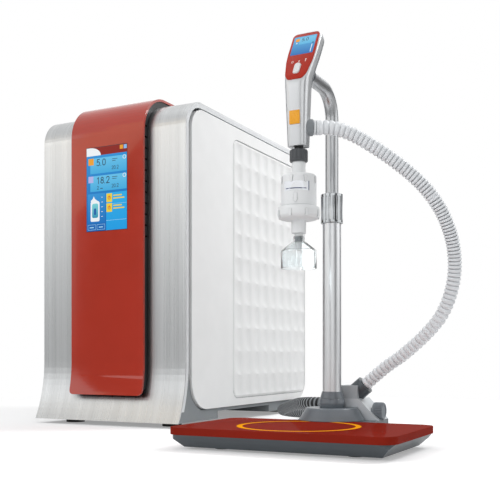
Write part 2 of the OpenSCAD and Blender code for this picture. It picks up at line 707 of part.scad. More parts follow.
// ---- hose unit behind the boss ----
module socket_body(g) translate(socket_end) rotate([0, 90 - socket_tilt, 0])
  translate([0, 0, -socket_l - g]) cylinder(h = socket_l + g, r = socket_r + g);
module valve_housing() color("#A8ADB1") stand() difference() {
  translate([0, deck_y, 0]) rotate([90, 0, 0]) linear_extrude(deck_y - unit_y0)
    polygon([[0, plate_z], [deck_x, plate_z], [34, housing_top], [0, housing_top]]);
  boss_line(seat);
  socket_body(run);
  rod_x(knob_x - 1, knob_x + 30, 30, knob_z, knob_r + 0.6);
  rod_x(knob_x - 12, knob_x + 1, 30, knob_z, spindle_r + run);
}
module hose_bracket() color("#8A9094") stand() difference() {
  box(bracket_x, bracket_x1, unit_y0, unit_y1, housing_top, bracket_top);
  boss_line(seat);
  socket_body(run);
}
module hose_socket() color("#4D5256") stand() socket_body(0);
module ribbed_knob() color("#7F858A") stand() difference() {
  union() {
    rod_x(knob_x - 0.4, knob_x + knob_l, 30, knob_z, knob_r);
    rod_x(knob_x - 11, knob_x, 30, knob_z, spindle_r);
  }
  for (i = [0:knob_ribs - 1]) translate([0, 30, knob_z]) rotate([i * 360 / knob_ribs, 0, 0])
    rod_x(knob_x + 2, knob_x + knob_l + 1, knob_r + 0.3, 0, 0.9, $fn = 16);
}

// ---- hoses: the route's points are chosen by hand, measured from the pole's foot ----
dispense_route = [[38, 30, 76], [53.3, 30, 88.9], [70, 28, 102], [91, 26, 116], [111, 24, 132],
  [130, 20, 149], [146, 16, 167], [158, 11, 189], [166, 5, 214], [169, -2, 240], [167, -10, 266],
  [160, -20, 292], [148, -30, 316], [131, -40, 338], [110, -52, 358], [86, -66, 377], [60, -80, 394],
  [38, -93, 402], [21, -103, 402]];
umbilical_route = [[0, 49, 47], [-17, 49, 47], [-33.5, 52, 47], [-54, 61, 46.5], [-74.5, 79.5, 45],
  [-95, 106.5, 42.5], [-113.5, 131, 39], [-132, 155.5, 35], [-150.5, 180, 30.5], [-168.5, 204.5, 26],
  [-181.5, 232, 22], [-186, 262.5, 18], [-186, 293, 14.5], [-186, 323.5, 12], [-186, 354.5, 10.5],
  [-186, 385, 10.5], [-188, 415.5, 12], [-203, 445.5, 14], [-224, 464, 15.5], [-244, 472.5, 16.5],
  [-261, 475, 17], [-278, 475, 17]];
low_cut = 6;
top_cut = 12;
sides = 8;
function unit(v) = v / norm(v);
function clamp_i(p, i) = i < 0 ? 2 * p[0] - p[1] : i >= len(p) ? 2 * p[len(p) - 1] - p[len(p) - 2] : p[i];
function spline(p, t) = let (i = min(floor(t), len(p) - 2), u = t - i,
  a = clamp_i(p, i - 1), b = p[i], c = p[i + 1], d = clamp_i(p, i + 2))
  0.5 * (2 * b + (c - a) * u + (2 * a - 5 * b + 4 * c - d) * u * u + (3 * b - a - 3 * c + d) * u * u * u);
function slope(p, t) = unit(spline(p, min(t + 0.01, len(p) - 1)) - spline(p, max(t - 0.01, 0)));
function ring_at(p, t, r, ref) = let (c = spline(p, t), w = slope(p, t),
  u = unit(cross(w, ref)), v = cross(w, u))
  [for (k = [0:sides - 1]) c + r * (cos(k * 360 / sides + 22.5) * u + sin(k * 360 / sides + 22.5) * v)];
function rib_r(i, n) = (i == 0 || i == n) ? hose_r - rib_d : hose_r - (i % 2 == 0 ? rib_d : 0);
module hose(p, t0, t1, ribs, ref) {
  n = ribs * 2;
  m = ceil(ribs / 3);
  outer = [for (i = [0:n]) each ring_at(p, t0 + (t1 - t0) * i / n, rib_r(i, n), ref)];
  inner = [for (i = [0:m]) each ring_at(p, t0 + (t1 - t0) * i / m, hose_bore_r, ref)];
  o = (n + 1) * sides;
  wall = [for (i = [0:n - 1]) for (k = [0:sides - 1]) let (a = i * sides + k, b = i * sides + (k + 1) % sides)
    each [[a, b, a + sides], [b, b + sides, a + sides]]];
  bore = [for (i = [0:m - 1]) for (k = [0:sides - 1])
    let (a = o + i * sides + k, b = o + i * sides + (k + 1) % sides)
    each [[a, a + sides, b], [b, a + sides, b + sides]]];
  first = [for (k = [0:sides - 1]) let (b = (k + 1) % sides) each [[k, o + k, b], [b, o + k, o + b]]];
  e = n * sides;
  f = o + m * sides;
  last = [for (k = [0:sides - 1]) let (b = (k + 1) % sides)
    each [[e + k, e + b, f + k], [e + b, f + b, f + k]]];
  polyhedron(points = concat(outer, inner), faces = concat(wall, bore, first, last), convexity = 10);
}
side_ref = [0, 1, 0];
up_ref = [0, 0, 1];
route_n = len(dispense_route) - 1;
function share(a, b) = round(dispense_ribs * (b - a) / route_n);
module umbilical_hose() color("#3A3E41") stand()
  hose(umbilical_route, 0, len(umbilical_route) - 1, umbilical_ribs, up_ref);
module dispense_hose_low() color("#D5D8DC") stand()
  hose(dispense_route, 0, low_cut, share(0, low_cut), side_ref);
module dispense_hose_mid() color("#D5D8DC") stand()
  hose(dispense_route, low_cut, top_cut, share(low_cut, top_cut), side_ref);
module dispense_hose_top() color("#D5D8DC") stand()
  hose(dispense_route, top_cut, route_n, share(top_cut, route_n), side_ref);

// ---- handset ----
grip_front = 14.5;
dock_r = 10;
dock_y = reach - cup_face;
gland_at = [21, -103 + reach, 402];
gland_turn = 30;
module slab(w, d, y, z, h) translate([0, y, z]) linear_extrude(h) rounded(w, d, min(w, d) * 0.38, $fn = 32);
module face_frame() translate([0, -grip_front, face_z]) rotate([90 - head_tilt, 0, 0]) children();
module plate_form(w, l, y, t) face_frame() translate([0, y, -t]) linear_extrude(t) rounded(w, l, 8, $fn = 32);
module gun_form() {
  hull() {
    slab(grip_w_low, grip_d_low, -0.5, grip_z, 1);
    slab(grip_w, grip_d, -1, face_z - 8, 1);
  }
  hull() {
    plate_form(grip_w, 30, 17, head_t);
    slab(grip_w, grip_d, -1, face_z - 9, 4);
  }
  hull() {
    plate_form(head_w, 50, head_l - 25, head_t - 3);
    plate_form(head_w - 8, 50, head_l - 25.5, head_t);
    plate_form(grip_w + 1, 30, 17, head_t - 1);
  }
}
seam_y = 6;
seam_n = (head_t - 4.5) / cos(head_tilt) - grip_front;
seam_z = face_z + (seam_y - seam_n) / tan(head_tilt);
far_z = face_z + head_l * 1.3;
far_y = seam_n + tan(head_tilt) * (far_z - face_z);
module back_region() along_x(-head_w, 2 * head_w) polygon([[seam_y, grip_z - 5], [seam_y, seam_z],
  [far_y, far_z], [far_y + head_l, far_z], [far_y + head_l, grip_z - 5]]);
module gland_axis() translate(gland_at) rotate([0, 0, gland_turn]) rotate([0, -90, 0]) children();
module gun_cuts() {
  translate([0, 0, grip_z - 1]) cylinder(h = 10, r = neck_r + run);
  gland_axis() translate([0, 0, -1]) cylinder(h = 19, r = gland_r + run);
  rod_y(0, dock_y - peg_l - 1, dock_y + 1, arm_z, peg_r + run);
  rod_y(0, dock_y - 0.1, dock_y + 40, arm_z, cup_r + 0.3);
  face_frame() translate([0, 0, -bezel_t / 2]) linear_extrude(20) bezel_line(seat);
  face_frame() translate([0, 0, -7]) linear_extrude(20) rocker_line(0.6);
  face_frame() rod_x(-8, 8, rocker_y, -3, 1.5 + run);
  box(-badge_w / 2 - seat, badge_w / 2 + seat, -30, badge_y + 1.2,
    badge_z - seat, badge_z + badge_w + 3 + seat);
}
rocker_y = 19;
rocker_d = 4.8;
screen_y = 61;
badge_z = 404;
badge_y = -13.2;
bezel_w = head_w * 0.45;
bezel_low = grip_w * 0.45;
module bezel_line(g) for (s = [0, 1]) mirror([s, 0, 0]) polygon([[-1, 1.5 - g], [bezel_low - 4 + g, 1.5 - g],
  [bezel_low + g, 8], [bezel_w + g, head_l * 0.42], [bezel_w - 0.5 + g, head_l - 5],
  [bezel_w - 3.5, head_l - 1.5 + g], [-1, head_l - 1.5 + g]]);
module rocker_line(g) translate([0, rocker_y])
  rounded(rocker_w + 2 * g, rocker_l + 2 * g, rocker_w * 0.45, $fn = 48);
module front_shell() color("#DADDDF") gun() difference() {
  gun_form();
  back_region();
  gun_cuts();
}
module back_shell() color("#9CA1A5") gun() difference() {
  union() {
    intersection() {
      gun_form();
      back_region();
    }
    intersection() {
      rod_y(0, seam_y + 2, dock_y - 0.1, arm_z, dock_r);
      back_region();
    }
  }
  gun_cuts();
}
module bezel() color("#A12E1F") gun() face_frame() translate([0, 0, -bezel_t / 2]) difference() {
  linear_extrude(bezel_t) bezel_line(0);
  translate([0, screen_y, bezel_t - 0.8]) linear_extrude(2)
    square([screen_w + seat, screen_h + seat], center = true);
  translate([0, 0, -1]) linear_extrude(10) rocker_line(0.6);
}
module screen() color("#3FA0DC") gun() face_frame() translate([0, screen_y, bezel_t / 2 - 0.8])
  linear_extrude(0.9) square([screen_w, screen_h], center = true);
module thumb_rocker() color("#C9CCCF") gun() face_frame() {
  intersection() {
    translate([0, 0, -rocker_d]) linear_extrude(rocker_d + 3) rocker_line(0);
    rod_x(-10, 10, rocker_y, -21, 23.5);
  }
  rod_x(-7, 7, rocker_y, -3, 1.5);
}
module badge() color("#F0A030") gun()
  box(-badge_w / 2, badge_w / 2, badge_y, badge_y + 1.2, badge_z, badge_z + badge_w + 3);
module hose_gland() color("#6A6F73") gun() gland_axis() difference() {
  translate([0, 0, 2 * seat]) cylinder(h = gland_l + 10 - 2 * seat, r = gland_r);
  translate([0, 0, -1]) cylinder(h = 4, r = hose_r - rib_d - 3);
}
neck_low = grip_z - 15;
module neck() color("#17191A") gun() translate([0, 0, neck_low]) cylinder(h = 15 + 8, r = neck_r);
nut_z = neck_low - 4;
module filter_nut() color("#55595C") gun() difference() {
  translate([0, 0, nut_z]) cylinder(h = nut_h, r = nut_r);
  translate([0, 0, nut_z - 1]) cylinder(h = 5, r = inlet_r + 0.3);
  translate([0, 0, nut_z]) cylinder(h = nut_h + 1, r = neck_r + run);
  for (i = [0:11]) rotate([0, 0, i * 30]) box(nut_r - 1, nut_r + 1, -0.9, 0.9, nut_z + 3, nut_z + nut_h + 1);
}
shoulder_z = nut_z - 17;
capsule_z = shoulder_z - 5 - capsule_h;
base_z = capsule_z - band_h;
module capsule_filter() color("#F1F3F4") gun() rotate_extrude($fn = 96) polygon([[0, capsule_z],
  [capsule_r, capsule_z], [capsule_r, shoulder_z - 5], [capsule_r + 1.4, shoulder_z - 3],
  [capsule_r + 1.4, shoulder_z - 1], [inlet_r + 2, shoulder_z + 1], [inlet_r, shoulder_z + 3],
  [inlet_r, neck_low - 1], [0, neck_low - 1]]);
outlet_z = base_z - 18;
barb_end = outlet_z - 21;
module filter_base() color("#EDEFF0") gun() rotate_extrude($fn = 96) polygon([[0, capsule_z],
  [band_r - 0.6, capsule_z], [band_r, capsule_z - 1], [band_r, base_z + 2], [band_r - 3, base_z],
  [outlet_r, base_z - 2], [outlet_r, outlet_z], [barb_r + 1, outlet_z - 2], [barb_r, outlet_z - 3],
  [barb_r, outlet_z - 14], [barb_r - 1.2, barb_end], [0, barb_end]]);
bell_top = outlet_z - 3.5;
bell_neck = 7;
bell_z = bell_top - bell_neck - 11 - bell_h;
module dispense_bell() color([0.85, 0.92, 0.95, 0.5]) gun() rotate_extrude($fn = 96) polygon([
  [barb_r + run, bell_top], [barb_r + 2.4, bell_top], [barb_r + 2.4, bell_top - bell_neck + 2],
  [bell_r, bell_z + bell_h], [bell_r, bell_z], [bell_r - bell_wall, bell_z],
  [bell_r - bell_wall, bell_z + bell_h - 0.6], [barb_r + 1.6, bell_top - bell_neck],
  [barb_r + run, bell_top - bell_neck]]);

base_chassis();
rubber_feet();
steel_wrap();
edge_trims();
side_frames();
rear_panel();
fascia();
fascia_spacer();
display();
service_tray();
ro_module();
booster_pump();
recirculation_pump();
pretreatment_cartridge();
polishing_cartridge();
cartridge_manifold();
uv_chamber();
power_supply();
control_board();
power_inlet();
power_switch();
water_fittings();
right_side_panel();
right_quilt();
right_studs();
left_side_panel();
left_quilt();
left_studs();
plate_top();
plate_ring();
plate_tray();
plate_feet();
pole_boss();
boss_ring();
boss_cap();
lower_pole();
clamp_collar();
guide_bush();
upper_pole();
cradle();
hose_bracket();
hose_socket();
valve_housing();
ribbed_knob();
umbilical_hose();
dispense_hose_low();
dispense_hose_mid();
dispense_hose_top();
front_shell();
back_shell();
bezel();
screen();
thumb_rocker();
badge();
hose_gland();
neck();
filter_nut();
capsule_filter();
filter_base();
dispense_bell();
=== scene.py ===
from math import asin, cos, pi, radians, sin, sqrt, tan, tau

import bmesh
import bpy
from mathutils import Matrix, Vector


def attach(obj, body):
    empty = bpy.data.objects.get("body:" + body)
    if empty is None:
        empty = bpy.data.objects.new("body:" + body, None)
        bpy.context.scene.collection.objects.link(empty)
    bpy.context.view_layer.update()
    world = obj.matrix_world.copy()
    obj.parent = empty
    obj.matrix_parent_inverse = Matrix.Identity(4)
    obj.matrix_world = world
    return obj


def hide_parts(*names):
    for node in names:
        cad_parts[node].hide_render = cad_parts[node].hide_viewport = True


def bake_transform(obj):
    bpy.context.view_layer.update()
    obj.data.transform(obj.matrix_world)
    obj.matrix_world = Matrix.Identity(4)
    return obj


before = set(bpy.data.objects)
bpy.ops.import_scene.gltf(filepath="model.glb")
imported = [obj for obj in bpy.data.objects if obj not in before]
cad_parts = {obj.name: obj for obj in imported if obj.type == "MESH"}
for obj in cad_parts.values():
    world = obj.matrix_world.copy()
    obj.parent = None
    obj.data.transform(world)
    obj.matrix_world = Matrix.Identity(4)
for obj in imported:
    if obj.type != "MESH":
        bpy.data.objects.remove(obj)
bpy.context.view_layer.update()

# ---- camera ----
# The photograph is taken from the bench's height, a little to the right of the set.
# The camera is level, so the uprights stay upright, and the view is shifted up.
camera_data = bpy.data.cameras.new("camera")
camera_data.sensor_width = 36
camera_data.lens = 60.12
camera_data.shift_y = 0.21
camera_data.clip_start, camera_data.clip_end = 0.05, 50
camera = bpy.data.objects.new("camera", camera_data)
camera.location = (0.630, -1.25025, 0.117)
camera.rotation_euler = (radians(90), 0, radians(27.1))
bpy.context.scene.collection.objects.link(camera)
bpy.context.scene.camera = camera

# ---- dispense hose ----
# Corrugated polypropylene hose from the hose socket up to the handset, with the water tube and the
# handset's cable inside. It is drawn in three lengths, parted where the pole slides, where the arm turns and
# where the handset lifts.


def stand(x, y, z):
    """A place measured in millimetres from the pole's foot."""
    return Vector((x + 207, y - 176.25, z)) / 1000


def linear(hex_colour):
    """An sRGB hex value as a linear colour."""
    parts = [int(hex_colour[i:i + 2], 16) / 255 for i in (1, 3, 5)]
    return [c / 12.92 if c <= 0.04045 else ((c + 0.055) / 1.055) ** 2.4 for c in parts] + [1]


def add(tree, kind, values, **settings):
    """A node with its settings; each value is a number, a colour or another node's output."""
    node = tree.nodes.new("ShaderNode" + kind)
    for name, value in settings.items():
        setattr(node, name, value)
    for name, value in values.items():
        if isinstance(value, bpy.types.NodeSocket):
            tree.links.new(value, node.inputs[name])
        else:
            node.inputs[name].default_value = value
    return node


def finish_of(name, colour, roughness, **values):
    """A new material, with its shader's own sockets set."""
    material = bpy.data.materials.new(name)
    material.use_nodes = True
    shader = material.node_tree.nodes["Principled BSDF"]
    shader.inputs["Base Color"].default_value = linear(colour)
    shader.inputs["Roughness"].default_value = roughness
    for key, value in values.items():
        shader.inputs[key.replace("_", " ")].default_value = value
    return material, material.node_tree, shader


def speckle(tree, mm, detail=2.0, stretch=(1, 1, 1)):
    """Noise whose grain is that many millimetres wide, fixed to the piece."""
    place = add(tree, "TexCoord", {}).outputs["Object"]
    scaled = add(tree, "Mapping", {"Vector": place, "Scale": [s * 1000 / mm for s in stretch]})
    return add(tree, "TexNoise", {"Vector": scaled.outputs[0], "Scale": 1.0, "Detail": detail}).outputs[0]


def spread(tree, source, low, high, start=0.3, end=0.7):
    """The noise taken to a span of roughness, height or share."""
    return add(tree, "MapRange", {"Value": source, "From Min": start, "From Max": end,
                                  "To Min": low, "To Max": high}).outputs[0]


def toned(tree, shader, share, dark, light):
    """Lays two near shades over the surface, each point taking its share of the second."""
    tone = add(tree, "Mix", {0: share, 6: dark, 7: light}, data_type="RGBA")
    tree.links.new(tone.outputs[2], shader.inputs["Base Color"])


def moulded(name, colour, roughness, grain=0.8, depth=0.03, shade=0.06, **values):
    """Injection-moulded plastic: a fine spark-eroded grain, and a faint cloudiness of tone."""
    material, tree, shader = finish_of(name, colour, roughness, **values)
    fine, cloud = speckle(tree, grain), speckle(tree, 35, 3.0)
    dark = [c * (1 - shade) for c in linear(colour)[:3]] + [1]
    toned(tree, shader, spread(tree, cloud, 0, 1), dark, linear(colour))
    tree.links.new(spread(tree, fine, roughness - 0.04, roughness + 0.05), shader.inputs["Roughness"])
    bump = add(tree, "Bump", {"Height": fine, "Strength": 0.35, "Distance": depth / 1000})
    tree.links.new(bump.outputs[0], shader.inputs["Normal"])
    return material


def piece(name, shape, place, rides, material, stands_for=(), sharp=35):
    """A mesh from points in millimetres, put in its place, on its body, with its finish."""
    mesh = bpy.data.meshes.new(name)
    mesh.from_pydata([place(*p) for p in shape[0]], [], shape[1])
    form = bmesh.new()
    form.from_mesh(mesh)
    bmesh.ops.recalc_face_normals(form, faces=form.faces)
    form.to_mesh(mesh)
    form.free()
    mesh.shade_smooth()
    mesh.set_sharp_from_angle(angle=radians(sharp))
    mesh.materials.append(material)
    made = bpy.data.objects.new(name, mesh)
    bpy.context.scene.collection.objects.link(made)
    if rides:
        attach(made, rides)
    if stands_for:
        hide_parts(*stands_for)
    return made


def skin(rings, around, closed=False):
    """The faces between rings of points: capped at both ends, or closed from the last ring to the first."""
    faces = []
    for i in range(rings if closed else rings - 1):
        j = (i + 1) % rings
        for k in range(around):
            m = (k + 1) % around
            faces.append((i * around + k, i * around + m, j * around + m, j * around + k))
    if not closed:
        faces += [tuple(range(around)), tuple(range((rings - 1) * around, rings * around))]
    return faces


def swept(line, radii, around=24):
    """A round form along a line of points, with a radius at each."""
    line = [Vector(p) for p in line]
    count = len(line)
    ahead = [(line[min(i + 1, count - 1)] - line[max(i - 1, 0)]).normalized() for i in range(count)]
    side = ahead[0].orthogonal().normalized()
    points = []
    for i in range(count):
        side = (side - ahead[i] * side.dot(ahead[i])).normalized()
        other = ahead[i].cross(side)
        for k in range(around):
            a = tau * k / around
            points.append(tuple(line[i] + radii[i] * (cos(a) * side + sin(a) * other)))
    return points, skin(count, around)


def between(a, b, c, d, u):
    """The smooth curve from b to c, with the places before and after them."""
    return 0.5 * (2 * b + (c - a) * u + (2 * a - 5 * b + 4 * c - d) * u * u
                  + (3 * b - a - 3 * c + d) * u ** 3)


def spline(route, t):
    """A point of the smooth line through the route."""
    i = min(int(t), len(route) - 2)
    b, c = Vector(route[i]), Vector(route[i + 1])
    a = Vector(route[i - 1]) if i else 2 * b - c
    d = Vector(route[i + 2]) if i + 2 < len(route) else 2 * c - b
    return between(a, b, c, d, t - i)


def corrugated(route, t0, t1, pitches, depth=1.6):
    """Hose with ribs: its centreline and its radius along it. The ribs lie closer where it is pressed."""
    samples, per_rib, outside = 600, 10, 9.0
    fine = [spline(route, t0 + (t1 - t0) * i / samples) for i in range(samples + 1)]
    run, length = [0.0], 0.0
    for i, (p, q) in enumerate(zip(fine, fine[1:])):
        at = i / samples * (len(pitches) - 1)
        k = min(int(at), len(pitches) - 2)
        run.append(run[-1] + (q - p).length / (pitches[k] + (pitches[k + 1] - pitches[k]) * (at - k)))
        length += (q - p).length
    ribs = max(1, round(run[-1]))
    line, radii, at = [], [], 0
    for step in range(ribs * per_rib + 1):
        goal = run[-1] * step / (ribs * per_rib)
        while at < samples - 1 and run[at + 1] < goal:
            at += 1
        share = (goal - run[at]) / (run[at + 1] - run[at])
        line.append(fine[at].lerp(fine[at + 1], min(1, share)))
        radii.append(outside - depth * ((1 + cos(tau * step / per_rib)) / 2) ** 3)
    return line, radii, length


def with_painted_shade(material, colour, reach=2.2, alone=True):
    """Paints shade into a piece's colour down in its grooves, where little light comes. Not alone: beside
    other pieces too.
    """
    tree = material.node_tree
    shader = tree.nodes["Principled BSDF"]
    source = shader.inputs["Base Color"].links[0].from_socket
    depth = add(tree, "AmbientOcclusion", {"Distance": reach / 1000}, samples=8,
                only_local=alone).outputs["AO"]
    toned(tree, shader, spread(tree, depth, 0, 1, 0.35, 0.85), linear(colour), source)
    return material


dispense_route = [
    (38, 30, 76), (53.3, 30, 88.9), (70, 28, 102), (91, 26, 116), (111, 24, 132), (130, 20, 149),
    (146, 16, 167), (158, 11, 189), (166, 5, 214), (169, -2, 240), (167, -10, 266), (160, -20, 292),
    (148, -30, 316), (131, -40, 338), (110, -52, 358), (86, -66, 377), (60, -80, 394), (38, -93, 402),
    (21, -103, 402)]
# Painted shade: the hose's plastic darkens towards #54585D down in the grooves between its ribs.
hose_plastic = with_painted_shade(moulded("hose_polypropylene_light", "#E3E6E9", 0.42, 0.5, 0.02), "#54585D", 2.8)
for name, node, t0, t1, bodies, pitches in (
        ("dispense_hose_lower", "dispense_hose_low", 0, 6, ("base", "lift"), (6.9, 6.9, 7.0, 7.5, 7.5)),
        ("dispense_hose_middle", "dispense_hose_mid", 6, 12, ("lift", "arm"), (7.5, 6.1, 4.7, 4.2, 4.5)),
        ("dispense_hose_upper", "dispense_hose_top", 12, 18, ("arm", "handset"),
         (4.5, 5.4, 6.3, 6.9, 7.2))):
    line, radii, length = corrugated(dispense_route, t0, t1, pitches)
    hose = piece(name, swept(line, radii), stand, None, hose_plastic, (node,), 60)
    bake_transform(hose)

# ---- umbilical hose ----
# Dark corrugated hose that lies along the bench, from the stand's housing to the side of the cabinet's base.
# The same kind of tube as the dispense hose, in dark grey, with painted shade: the bottoms of its grooves get
# a near-black finish of their own.
umbilical_route = [(0, 49, 47), (-17, 49, 47), (-33.5, 52, 47), (-54, 61, 46.5), (-74.5, 79.5, 45),
                   (-95, 106.5, 42.5), (-113.5, 131, 39), (-132, 155.5, 35), (-150.5, 180, 30.5),
                   (-168.5, 204.5, 26), (-181.5, 232, 22), (-186, 262.5, 18), (-186, 293, 14.5),
                   (-186, 323.5, 12), (-186, 354.5, 10.5), (-186, 385, 10.5), (-188, 415.5, 12),
                   (-203, 445.5, 14), (-224, 464, 15.5), (-244, 472.5, 16.5), (-261, 475, 17),
                   (-278, 475, 17)]
# Painted shade: the plastic darkens towards #1C1E20 in the grooves, and the faces at their bottoms take a
# near-black finish.
umbilical_plastic = with_painted_shade(moulded("hose_polypropylene_dark", "#7C8185", 0.4, 0.5, 0.02), "#1C1E20", 3.0)
line, radii, length = corrugated(umbilical_route, 0, 21, (8.0, 8.0), 2.2)
umbilical = piece("umbilical_corrugated", swept(line, radii), stand, "base", umbilical_plastic,
                  ("umbilical_hose",), 60)
# Painted shade: a near-black finish for the faces down in the grooves.
umbilical.data.materials.append(moulded("hose_groove_painted_shade", "#1B1D1F", 0.5, 0.5, 0.02))
sides_around, groove_radius = 24, 8.6
for face in umbilical.data.polygons:
    ring = face.index // sides_around
    if ring < len(line) - 1 and min(radii[ring], radii[ring + 1]) < groove_radius:
        face.material_index = 1

# ---- base chassis ----
# Structural foam moulding that carries the whole cabinet, painted a soft grey, with an arch to lift it by.
# Four turned rubber feet are pushed into it from below.


def dress(material, *nodes, edge=0.0):
    """Gives CAD pieces their material, and breaks their edges by that many millimetres."""
    for node in nodes:
        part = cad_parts[node]
        if not part.material_slots:
            part.data.materials.append(material)
        for material_slot in part.material_slots:
            material_slot.material = material
        if edge:
            weld = part.modifiers.new("weld", "WELD")
            weld.merge_threshold = 1e-6
            bevel = part.modifiers.new("edge", "BEVEL")
            bevel.width = edge / 1000
            bevel.segments = 3
            bevel.limit_method = "ANGLE"
            bevel.angle_limit = radians(32)


chassis_foam = moulded("structural_foam_grey", "#7F8487", 0.5, 1.0, 0.04)
feet_rubber = moulded("moulded_rubber", "#232527", 0.75, 0.6, 0.05)
dress(chassis_foam, "base_chassis")
dress(feet_rubber, "rubber_feet", "plate_feet")

# ---- inner frames, tray and water modules ----
# Folded steel side frames and a galvanised tray carry the pumps, cartridges and electronics.
# They are closed in by the panels and show only when these are pulled off.
frame_coat = moulded("powder_coat_black", "#24272A", 0.55, 0.9, 0.06)
dress(frame_coat, "side_frames")


def brushed(name, colour, roughness, mm, across, run=400, shade=0.12, **values):
    """Metal brushed in one direction: fine lines across it, each a little lighter or darker."""
    material, tree, shader = finish_of(name, colour, roughness, Metallic=1.0, **values)
    stretch = [mm / run] * 3
    stretch[across] = 1
    lines = speckle(tree, mm, 3.0, stretch)
    broad = speckle(tree, mm * 14, 2.0, stretch)
    dark = [c * (1 - shade) for c in linear(colour)[:3]] + [1]
    both = add(tree, "Math", {0: lines, 1: broad}, operation="ADD").outputs[0]
    toned(tree, shader, spread(tree, both, 0, 1, 0.7, 1.3), dark, linear(colour))
    tree.links.new(spread(tree, lines, roughness - 0.05, roughness + 0.07), shader.inputs["Roughness"])
    bump = add(tree, "Bump", {"Height": lines, "Strength": 0.25, "Distance": 0.00002})
    tree.links.new(bump.outputs[0], shader.inputs["Normal"])
    return material


zinc_sheet = brushed("galvanised_sheet", "#B4B8BB", 0.42, 6, 0, 60, 0.2)
vessel_white = moulded("polypropylene_white", "#E6E8E9", 0.35, 1.0, 0.02)
vessel_blue = moulded("polypropylene_pale_blue", "#C3D9EA", 0.3, 1.0, 0.02)
pump_enamel = moulded("enamelled_casting", "#54595D", 0.38, 1.4, 0.05)
nylon_black = moulded("glass_filled_nylon", "#1D1F21", 0.5, 0.7, 0.05)
lamp_tube = brushed("stainless_tube", "#BFC3C6", 0.25, 1.5, 1, 200)
board_mask = moulded("solder_mask_green", "#1F5A38", 0.35, 2.0, 0.05, 0.3)
dress(zinc_sheet, "service_tray", "power_supply")
dress(vessel_white, "ro_module", "pretreatment_cartridge")
dress(vessel_blue, "polishing_cartridge")
dress(pump_enamel, "booster_pump", "recirculation_pump")
dress(nylon_black, "cartridge_manifold")
dress(lamp_tube, "uv_chamber")
dress(board_mask, "control_board")

# ---- rear panel and its connections ----
# Powder-coated sheet, held by pan-head screws, with the mains inlet, its rocker switch and three
# push-in water fittings.


def cab(x, y, z):
    """A place measured in millimetres from the cabinet's lower left front corner."""
    return Vector((x - 358, y - 111.25, z)) / 1000


def turned(profile, around=96):
    """A form turned about Z, from a closed line of radius and height."""
    points, rings, faces = [], [], []
    for r, z in profile:
        start = len(points)
        if r < 1e-6:
            points.append((0, 0, z))
            rings.append([start])
        else:
            points += [(r * cos(tau * k / around), r * sin(tau * k / around), z) for k in range(around)]
            rings.append(list(range(start, start + around)))
    for one, two in zip(rings, rings[1:] + rings[:1]):
        for k in range(around):
            j = (k + 1) % around
            corners = [one[k % len(one)], one[j % len(one)], two[j % len(two)], two[k % len(two)]]
            corners = list(dict.fromkeys(corners))
            if len(corners) > 2:
                faces.append(corners)
    return points, faces


def eased(corners, steps=5):
    """A closed line through the corners, each rounded by its third number."""
    line = []
    for i, (x, y, r) in enumerate(corners):
        p = Vector((x, y))
        a, b = Vector(corners[i - 1][:2]) - p, Vector(corners[(i + 1) % len(corners)][:2]) - p
        if r == 0:
            line.append((x, y))
            continue
        half = a.angle(b) / 2
        d = min(r / tan(half), a.length * 0.49, b.length * 0.49)
        a, b = p + a.normalized() * d, p + b.normalized() * d
        for k in range(steps + 1):
            t = k / steps
            start, middle, end = (1 - t) ** 2, 2 * sin(half) * t * (1 - t), t * t
            q = (start * a + middle * p + end * b) / (start + middle + end)
            line.append((q.x, q.y))
    return line


def joined(*shapes):
    """Several shapes as one."""
    points, faces = [], []
    for more, sides in shapes:
        faces += [[i + len(points) for i in face] for face in sides]
        points += more
    return points, faces


def moved(shape, turn):
    """A shape with its points put elsewhere by a function."""
    return [tuple(turn(*p)) for p in shape[0]], shape[1]


rear_coat = moulded("powder_coat_light_grey", "#B6BABC", 0.5, 1.2, 0.06)
inlet_plastic = moulded("thermoplastic_black", "#17191B", 0.45, 0.6, 0.04)
switch_plastic = moulded("polycarbonate_white", "#E4E5E6", 0.3, 0.6, 0.02)
fitting_plastic = moulded("acetal_grey", "#C6CACD", 0.35, 0.8, 0.03)
dress(rear_coat, "rear_panel")
dress(inlet_plastic, "power_inlet")
dress(switch_plastic, "power_switch")
dress(fitting_plastic, "water_fittings")

rear_face = 480
screw_profile = [(0, 0, 0), (3.6, 0, 0), (3.6, 1.2, 1), (1.6, 2.0, 0.6), (1.3, 1.0, 0), (0, 1.0, 0)]
screw_head = turned(eased(screw_profile, 3), 24)
screw_steel = brushed("zinc_plated_screw", "#C9CCCE", 0.3, 0.6, 0, 6)
screw_places = [(x, z) for x in (30, 260) for z in (45, 190, 340, 505)] + [(145, 45), (145, 505)]
screws = [moved(screw_head, lambda x, y, z, p=p: (p[0] + x, rear_face + z, p[1] + y)) for p in screw_places]
piece("rear_screws", joined(*screws), cab, "base", screw_steel)
pin = turned(eased([(0, 0, 0), (1.6, 0, 0), (1.6, 10, 1.2), (0, 11, 0)], 3), 16)
pin_places = ((64, 73), (71, 77), (78, 73))
pins = [moved(pin, lambda x, y, z, p=p: (p[0] + x * 0.6, rear_face - 14.8 + z, p[1] + y * 1.2))
        for p in pin_places]
piece("inlet_pins", joined(*pins), cab, "base", screw_steel)
collet = turned(eased([(3.3, 0, 0), (5.6, 0, 0), (5.6, 2.2, 0.6), (3.3, 2.2, 0.6)], 3), 32)
collets = [moved(collet, lambda x, y, z, p=p: (p + x, rear_face + 11.9 + z, 80 + y))
           for p in (180, 210, 240)]
piece("fitting_collets", joined(*collets), cab, "base",
      moulded("acetal_blue_grey", "#5D7486", 0.4, 0.6, 0.02))

